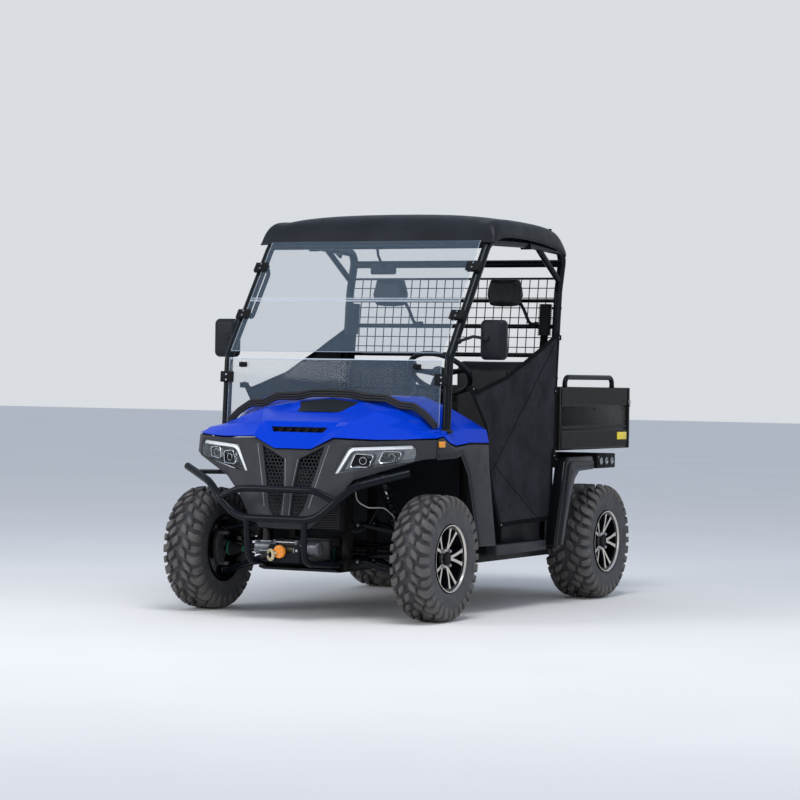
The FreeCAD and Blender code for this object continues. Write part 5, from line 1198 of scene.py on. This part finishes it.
# Half shafts: a black steel bar between ribbed rubber boots, clamped with green bands. Cast iron uprights
# carry the hubs and the brake calipers.

cast_grey = material("cast_grey", (0.12, 0.12, 0.125), 0.5, metal=0.6, grain=500, bump=0.3)
green = material("green_band", (0.01, 0.22, 0.13), 0.4)
BOOT_RIBS = 6
boot = [(0, 0.034), (0.004, 0.036), (0.012, 0.036), (0.014, 0.033)]
for k in range(BOOT_RIBS):
    boot += [(0.018 + k * 0.011, 0.028 - 0.0032 * k), (0.0235 + k * 0.011, 0.034 - 0.0032 * k)]
boot += [(0.086, 0.016), (0.096, 0.015), (0.097, 0.0126)]
bm = bmesh.new()
for side in (1, -1):
    for axle_y in (FRONT_AXLE, REAR_AXLE):
        turned(bm, (side * 0.1697, axle_y, AXLE_Z), (side, 0, 0), ((0, 0.0125), (0.290, 0.0125)), 20, mat=1)
        for start, way in ((0.0908, 1), (0.5395, -1)):
            for shift, profile, sides, mat in (
                    (0, boot, 32, 0),
                    (0.004, ((0, 0.0355), (0.001, 0.0366), (0.007, 0.0366), (0.008, 0.0355)), 32, 2),
                    (0.087, ((0, 0.0158), (0.001, 0.0168), (0.006, 0.0168), (0.007, 0.0155)), 24, 2)):
                turned(bm, (side * (start + way * shift), axle_y, AXLE_Z), (side * way, 0, 0), profile, sides, mat)
        turned(bm, (side * 0.5395, axle_y, AXLE_Z), (side, 0, 0), ((0, 0.034), (0.001, 0.017), (0.020, 0.017)), 24,
               mat=1)
add("drive_half_shafts", bm, [seal_rubber, gloss_black, green], replaces=("half_shafts",),
    smooth=45)
for side_name, side in (("left", 1), ("right", -1)):
    dressed(f"knuckle_{side_name}", cast_grey, 0.003, 2, f"knuckle_{side_name}")
dressed("rear_knuckles", cast_grey, 0.003)
for name, body, side, axle_y in (("front_left", "knuckle_left", 1, FRONT_AXLE),
                                 ("front_right", "knuckle_right", -1, FRONT_AXLE),
                                 ("rear_left", ROOT, 1, REAR_AXLE), ("rear_right", ROOT, -1, REAR_AXLE)):
    bm = bmesh.new()
    x0, x1 = sorted((side * 0.583, side * 0.6125))
    block(bm, (x0, axle_y + 0.040, AXLE_Z - 0.035), (x1, axle_y + 0.082, AXLE_Z + 0.040), 0.006, 3)
    for z in (-0.018, 0.022):
        turned(bm, (side * 0.583, axle_y + 0.061, AXLE_Z + z), (-side, 0, 0),
               ((0, 0.009), (0.006, 0.009), (0.008, 0.006)),
               6, mat=1)
    hose = ((0.585, 0.060, 0.040), (0.578, 0.058, 0.075), (0.570, 0.040, 0.100))
    sweep(bm, [(side * x, axle_y + y, AXLE_Z + z) for x, y, z in hose], 0.003, 0.02, 8, 4, mat=2)
    add(f"brake_caliper_{name}", bm, [cast_grey, steel, dull_black], body, smooth=35)


# Steering rack: the black steel bar that slides across the frame when the wheel is turned, with a nut and a
# cast ball end at each side.

RACK_Y, RACK_Z = -0.883, 0.3633
bm = bmesh.new()
turned(bm, (-0.525, RACK_Y, RACK_Z), (1, 0, 0), ((0, 0.0095), (1.050, 0.0095)), 20)
for side in (1, -1):
    turned(bm, (side * 0.530, RACK_Y, RACK_Z - 0.013), (0, 0, 1),
           ((0, 0.011), (0.003, 0.0165), (0.023, 0.0165), (0.026, 0.011)), 22, mat=1)
    turned(bm, (side * 0.420, RACK_Y, RACK_Z), (side, 0, 0),
           ((0, 0.0096), (0, 0.0135), (0.018, 0.0135), (0.018, 0.0096)), 6)
add("steering_rack_bar", bm, [gloss_black, cast_grey], "steering_rack", ("steering_rack",), 40)


# Frame: square steel tube, welded and painted black, with the cast final drives, the moulded floor and
# sills and the skid plate bolted to it.

panel_black = material("panel_black", (0.008, 0.008, 0.0075), 0.28, bump=0.02, mottle=0.2, shine=0.07)
dressed("chassis_frame", panel_black, 0.0030, 2)
dressed("final_drives", cast_grey, 0.006, 3)
dressed("floor_pan", black_plastic, 0.001, 1)
dressed("sills", charcoal, 0.006, 3)
dressed("skid_plate", black_plastic, 0.0015, 1)
bm = bmesh.new()
for axle_y in (FRONT_AXLE, REAR_AXLE):
    for k in range(7):
        y = axle_y - 0.048 + k * 0.016
        block(bm, (-0.086, y - 0.0025, AXLE_Z + 0.0645), (0.086, y + 0.0025, AXLE_Z + 0.072), 0.001)
    for side in (1, -1):
        turned(bm, (side * 0.0895, axle_y, AXLE_Z), (side, 0, 0), ((-0.004, 0.052), (0.0002, 0.050)), 32)
        for k in range(6):
            a = math.pi / 3 * k
            turned(bm, (side * 0.0895, axle_y + 0.054 * math.cos(a), AXLE_Z + 0.054 * math.sin(a)), (side, 0, 0),
                   ((0, 0.006), (0.005, 0.006), (0.006, 0.004)), 6, mat=1)
add("drive_cover_ribs", bm, [cast_grey, steel])
bm = bmesh.new()
for side in (1, -1):
    for k in range(11):
        x = side * (0.100 + k * 0.042)
        block(bm, (x - 0.006, -0.520, 0.3172), (x + 0.006, -0.130, 0.3198), 0.001)
    x0, x1 = sorted((side * 0.634, side * 0.684))
    for k in range(14):
        y = -0.310 + k * 0.042
        block(bm, (x0, y, 0.3498), (x1, y + 0.014, 0.3525), 0.001)
add("floor_ribs", bm, black_plastic)


# Winch: a painted motor, a spool wound with rope and a gear case on a base plate, held by two side plates
# and a hawse plate. The rope ends in an orange rubber stop and a tan forged hook.

orange = material("orange_bumper", (0.90, 0.25, 0.01), 0.45, bump=0.1)
tan = material("tan_steel", (0.50, 0.43, 0.26), 0.45, metal=0.3, bump=0.2)
winch_paint = material("winch_paint", (0.13, 0.135, 0.15), 0.36, metal=0.6, grain=500, bump=0.1)
WY, WZ, PLATE_X = -1.281, 0.354, 0.062
bm = bmesh.new()
turned(bm, (-0.190, WY, WZ), (1, 0, 0),
       ((0, 0.020), (0.001, 0.033), (0.006, 0.037), (0.030, 0.037), (0.032, 0.035), (0.090, 0.035), (0.092, 0.037),
        (0.124, 0.037)), 40)
for k in range(4):
    a = math.pi / 2 * k + 0.5
    y, z = WY + 0.0335 * math.cos(a), WZ + 0.0335 * math.sin(a)
    sweep(bm, [(-0.1895, y, z), (-0.070, y, z)], 0.0035, sides=8, mat=1)
turned(bm, (0.066, WY, WZ), (1, 0, 0),
       ((0, 0.036), (0.004, 0.040), (0.048, 0.040), (0.052, 0.037), (0.060, 0.037), (0.064, 0.040), (0.100, 0.040),
        (0.108, 0.034), (0.114, 0.020)), 12)
for k in range(6):
    a = math.pi / 3 * k
    turned(bm, (0.1720, WY + 0.030 * math.cos(a), WZ + 0.030 * math.sin(a)), (1, 0, 0), ((0, 0.005), (0.005, 0.005)),
           6, mat=1)
turned(bm, (-0.056, WY, WZ), (1, 0, 0), [(k * 0.0056, 0.0235 + 0.0022 * (k % 2)) for k in range(21)], 32, mat=2)
for side in (-1, 1):
    x = side * PLATE_X
    block(bm, (x - 0.006, WY - 0.050, 0.2843), (x + 0.006, WY + 0.044, WZ + 0.044), 0.004, 3)
    for y, z in ((-0.038, 0.030), (0.032, 0.030), (0.032, -0.030)):
        turned(bm, (x + side * 0.006, WY + y, WZ + z), (side, 0, 0), ((0, 0.0065), (0.0035, 0.0065), (0.0045, 0.004)),
               6, mat=1)
for y, z in ((0.033, 0.027), (-0.040, 0.030)):
    sweep(bm, [(-0.060, WY + y, WZ + z), (0.060, WY + y, WZ + z)], 0.006, sides=14, mat=1)
block(bm, (-0.138, -1.333, 0.2843), (0.138, -1.120, 0.2923), 0.0015, mat=3)
outline = [(-0.090, 0.2845), (0.090, 0.2845), (0.090, 0.362), (0.078, 0.374), (-0.078, 0.374), (-0.090, 0.362)]
hawse = [(-0.058, 0.334), (0.058, 0.334), (0.058, 0.357), (0.050, 0.359), (-0.050, 0.359), (-0.058, 0.357)]
around_hole = [[(x, y, z) for x, z in line] for line, y in
               ((outline, -1.341), (outline, -1.331), (hawse, -1.331), (hawse, -1.341))]
rings(bm, around_hole + around_hole[:1], ends=False, mat=3)
for side in (1, -1):
    turned(bm, (side * 0.074, -1.3412, 0.345), (0, -1, 0), ((0, 0.007), (0.004, 0.007), (0.005, 0.004)), 6, mat=1)
    sweep(bm, [(side * 0.054, -1.336, 0.335), (side * 0.054, -1.336, 0.358)], 0.0045, sides=12, mat=1)
add("winch_body", bm, [winch_paint, steel, tan, satin], replaces=("winch",), smooth=30)
STOP_X, STOP_Z, HOOK_STEPS = -0.020, 0.338, 43
bm = bmesh.new()
turned(bm, (STOP_X, -1.3418, STOP_Z), (0, -1, 0),
       ((0, 0.026), (0.003, 0.032), (0.016, 0.032), (0.020, 0.028), (0.021, 0.014), (0.023, 0.012), (0.023, 0.001)),
       36)
for k in range(6):
    a = math.pi / 3 * k
    turned(bm, (STOP_X + 0.021 * math.cos(a), -1.3626, STOP_Z + 0.021 * math.sin(a)), (0, -1, 0),
           ((0, 0.0035), (0.0018, 0.003)), 10, mat=2)
ring_turn = Matrix.Translation((-0.064, -1.364, 0.322)) @ Matrix.Rotation(math.radians(68), 4, "Z")
loops = []
for k in range(HOOK_STEPS + 1):
    a = math.radians(20 + 320 * k / HOOK_STEPS)
    thick = 0.0065 + 0.0022 * math.sin(math.pi * k / HOOK_STEPS)
    centre = Vector((0, 0.0225 * math.cos(a), 0.0235 * math.sin(a)))
    out = centre.normalized()
    loops.append([ring_turn @ (centre + out * thick * math.cos(b) + Vector((1, 0, 0)) * thick * math.sin(b))
                  for b in (math.pi / 6 * j for j in range(12))])
rings(bm, loops, mat=1)
catch = ((0, 0.021, 0.009), (0.002, 0.0235, -0.002), (0, 0.021, -0.009))
sweep(bm, [ring_turn @ Vector(p) for p in catch], 0.0022, 0.01, 8, 4, mat=2)
sweep(bm, [(-0.026, -1.3645, 0.334), (-0.040, -1.368, 0.331), (-0.048, -1.367, 0.328)], 0.0055, 0.008, 12, 4, mat=1)
add("winch_hook_parts", bm, [orange, tan, steel], replaces=("winch_hook",), smooth=40)


# Radiator: an aluminium core with cast tanks behind the grille. Two rubber hoses run back from it, and a
# thin grey breather line is clipped at both ends by the left damper.

wire_grey = material("wire_grey", (0.40, 0.40, 0.38), 0.5)
dressed("radiator", dull_black, 0.002)
bm = bmesh.new()
for k in range(34):
    z = 0.452 + k * 0.0088
    block(bm, (-0.222, -1.1725, z), (0.222, -1.1698, z + 0.0022))
for side in (1, -1):
    x0, x1 = sorted((side * 0.224, side * 0.240))
    block(bm, (x0, -1.1735, 0.442), (x1, -1.1695, 0.748), 0.002, mat=1)
add("radiator_fins", bm, [cast_grey, dull_black])
bm = bmesh.new()
sweep(bm, [(0.285, -1.130, 0.640), (0.300, -1.140, 0.590), (0.350, -1.110, 0.560), (0.410, -1.060, 0.562),
           (0.440, -1.010, 0.520), (0.440, -0.985, 0.470)], 0.0030, 0.05, 10, 6)
for hose in (((0.240, -1.110, 0.450), (0.260, -1.070, 0.430), (0.300, -1.010, 0.470), (0.330, -0.960, 0.560)),
             ((-0.240, -1.110, 0.450), (-0.270, -1.060, 0.440), (-0.300, -1.010, 0.500), (-0.330, -0.960, 0.600))):
    sweep(bm, hose, 0.006, 0.04, 12, 5, mat=1)
add("front_lines", bm, [wire_grey, seal_rubber])


# Power unit: a cast, finned casing under the bed with a round bolted cover on each side, and a steel muffler
# behind it.

COVER_Y, COVER_Z = 0.640, 0.400
dressed("engine", cast_grey, 0.012, 3)
dressed("muffler", steel, 0.003, 2)
bm = bmesh.new()
for side in (1, -1):
    x0, x1 = sorted((side * 0.1795, side * 0.190))
    for k in range(8):
        z = 0.520 + k * 0.022
        block(bm, (x0, 0.480, z), (x1, 0.700, z + 0.007), 0.002)
    turned(bm, (side * 0.1795, COVER_Y, COVER_Z), (side, 0, 0),
           ((0, 0.092), (0.012, 0.090), (0.018, 0.080), (0.022, 0.040), (0.023, 0.001)), 36)
    for k in range(8):
        a = math.pi / 4 * k
        turned(bm, (side * 0.190, COVER_Y + 0.083 * math.cos(a), COVER_Z + 0.083 * math.sin(a)), (side, 0, 0),
               ((0, 0.006), (0.006, 0.006)), 6, mat=1)
add("engine_covers", bm, [cast_grey, steel])


# Rear fenders: gloss black plastic mouldings that flare over the tyre and taper down to the sill, bolted
# under the bed.

dressed("rear_fenders", gloss_black, 0.007, 4)
bm = bmesh.new()
flare_outer = [(0.748, 0.772), (0.452, 0.772), (0.420, 0.752), (0.371, 0.560), (0.304, 0.324)]
flare_inner = [(0.748, 0.722), (0.560, 0.716), (0.502, 0.672), (0.442, 0.530), (0.358, 0.324)]
front_edge = [(0.744, 0.790), (0.436, 0.790), (0.393, 0.764), (0.340, 0.560), (0.273, 0.322)]
# width, along y, up
lip = ((0.700, 0, -0.001), (0.7330, -0.003, 0.003), (0.7400, 0, 0.002), (0.7445, 0.006, -0.006),
       (0.7445, 0.012, -0.012), (0.700, 0.010, -0.008))
for side in (1, -1):
    loops = []
    for (y0, z0), (y1, z1) in zip(flare_outer, flare_inner):
        across = Vector((y1 - y0, z1 - z0)).normalized() * 0.006
        loops.append([(side * 0.7440, y0, z0), (side * 0.7520, y0 + across.x, z0 + across.y),
                      (side * 0.7535, y0 + across.x * 2, z0 + across.y * 2),
                      (side * 0.7535, y1 - across.x, z1 - across.y), (side * 0.7500, y1, z1),
                      (side * 0.7440, y1, z1)])
    rings(bm, loops)
    rings(bm, [[(side * x, y + v, z + w) for x, v, w in lip] for y, z in front_edge])
add("fender_flares", bm, gloss_black, smooth=50)


# Cargo bed: black painted sheet steel with bands pressed into its sides and floor, end flanges, rolled rims
# and a bent rail on each side. The tailgate drops on pins and is held by two latches.

yellow = material("yellow_reflector", (0.90, 0.68, 0.03), 0.3, grain=1500, bump=0.2, mottle=0.08)
bed_profile = [(0.832, 0.0), (0.838, 0.0042), (0.926, 0.0042), (0.933, 0.0), (0.943, 0.0), (0.947, 0.0032),
               (0.955, 0.0032), (0.959, 0.0), (1.068, 0.0), (1.074, 0.0045), (1.164, 0.0045), (1.1695, 0.0)]
RAIL_FOOT, RAIL_TOP = 1.1705, 1.226
dressed("cargo_bed", panel_black, 0.0020, 2, "cargo_bed")
bm = bmesh.new()
for side in (1, -1):
    loops = [[(side * (0.6678 + out), y, z) for z, out in bed_profile] for y in (0.492, 1.392)]
    rings(bm, loops, ends=False, around=False)
    for loop in loops:
        bm.faces.new([bm.verts.new(p) for p in loop])
    x0, x1 = sorted((side * 0.6600, side * 0.6735))
    for y0, y1 in ((0.4585, 0.476), (1.404, 1.4295)):
        block(bm, (x0, y0, 0.828), (x1, y1, 1.1695), 0.003, 2)
    sweep(bm, [(side * 0.6685, 0.470, 1.165), (side * 0.6685, 1.420, 1.165)], 0.0048, sides=14)
    for y in (0.520, 0.940, 1.370):
        turned(bm, (side * 0.6720, y, 1.050), (side, 0, 0), ((0, 0.006), (0.002, 0.0055), (0.003, 0.003)), 14)
for k in range(9):
    x = -0.520 + k * 0.130
    block(bm, (x - 0.028, 0.500, 0.8535), (x + 0.028, 1.385, 0.8575), 0.002, 1)
for z in (0.900, 1.000, 1.100):
    block(bm, (-0.600, 0.4555, z - 0.020), (0.600, 0.4590, z + 0.020), 0.0015, 1)
add("cargo_bed_stampings", bm, panel_black, "cargo_bed", smooth=30)
bm = bmesh.new()
for side in (1, -1):
    x0, x1 = sorted((side * 0.6715, side * 0.6748))
    block(bm, (x0, 1.255, 0.876), (x1, 1.385, 0.918), 0.0012)
add("bed_reflectors", bm, yellow, "cargo_bed")
dressed("tailgate", panel_black, 0.0020, 2, "tailgate")
bm = bmesh.new()
for z0, z1 in ((0.895, 0.980), (1.010, 1.100)):
    block(bm, (-0.560, 1.4295, z0), (0.560, 1.4335, z1), 0.003, 2)
turned(bm, (-0.060, 1.4330, 1.132), (1, 0, 0), ((0, 0.004), (0.004, 0.010), (0.116, 0.010), (0.120, 0.004)), 16,
       mat=1)
add("tailgate_stampings", bm, [panel_black, dull_black], "tailgate", smooth=30)
bm = bmesh.new()
for side in (1, -1):
    x = side * 0.654
    sweep(bm, [(x, 0.5655, RAIL_FOOT), (x, 0.5655, RAIL_TOP), (x, 1.2095, RAIL_TOP), (x, 1.2095, RAIL_FOOT)],
          0.0138, 0.038, 24, 8)
    for y in (0.5655, 1.2095):
        turned(bm, (x, y, 1.1702), (0, 0, 1), ((0, 0.0138), (0, 0.0138), (0.005, 0.0165), (0.006, 0.0138)), 24)
add("bed_rail_tubes", bm, satin, "cargo_bed", ("bed_rails",), 40)
bm = bmesh.new()
for side in (1, -1):
    x0, x1 = sorted((side * 0.643, side * 0.671))
    block(bm, (x0, 1.4303, 1.062), (x1, 1.4365, 1.118), 0.002, 2)
    block(bm, (x0 + 0.005, 1.4360, 1.072), (x1 - 0.005, 1.4465, 1.096), 0.003, 3)
    turned(bm, (side * 0.657, 1.4365, 1.106), (0, 1, 0), ((0, 0.006), (0.004, 0.006), (0.005, 0.004)), 6)
    turned(bm, (side * 0.671, 1.418, 1.090), (side, 0, 0), ((0, 0.012), (0.006, 0.012), (0.010, 0.008)), 18)
    sweep(bm, [(side * 0.676, 1.418, 1.090), (side * 0.678, 1.418, 1.060)], 0.004, sides=10)
add("gate_latch_parts", bm, steel, "cargo_bed", ("gate_latches",), 35)


# Tail: a black plastic electrical box with three round steel sockets under the bed, and a square steel
# receiver with a pin hole welded to the frame.

BOX_FACE = 0.6548
bm = bmesh.new()
block(bm, (0.300, 1.020, 0.716), (0.655, 1.275, 0.797), 0.006, 3)
for y in (1.070, 1.145, 1.220):
    turned(bm, (BOX_FACE, y, 0.757), (1, 0, 0),
           ((0, 0.020), (0.004, 0.020), (0.006, 0.017), (0.006, 0.013), (0.003, 0.012), (0.003, 0.001)), 24, mat=1)
for y in (1.034, 1.261):
    turned(bm, (BOX_FACE, y, 0.780), (1, 0, 0), ((0, 0.005), (0.003, 0.005)), 6, mat=1)
add("relay_box", bm, [dull_black, steel], smooth=30)
dressed("hitch_receiver", satin, 0.002)
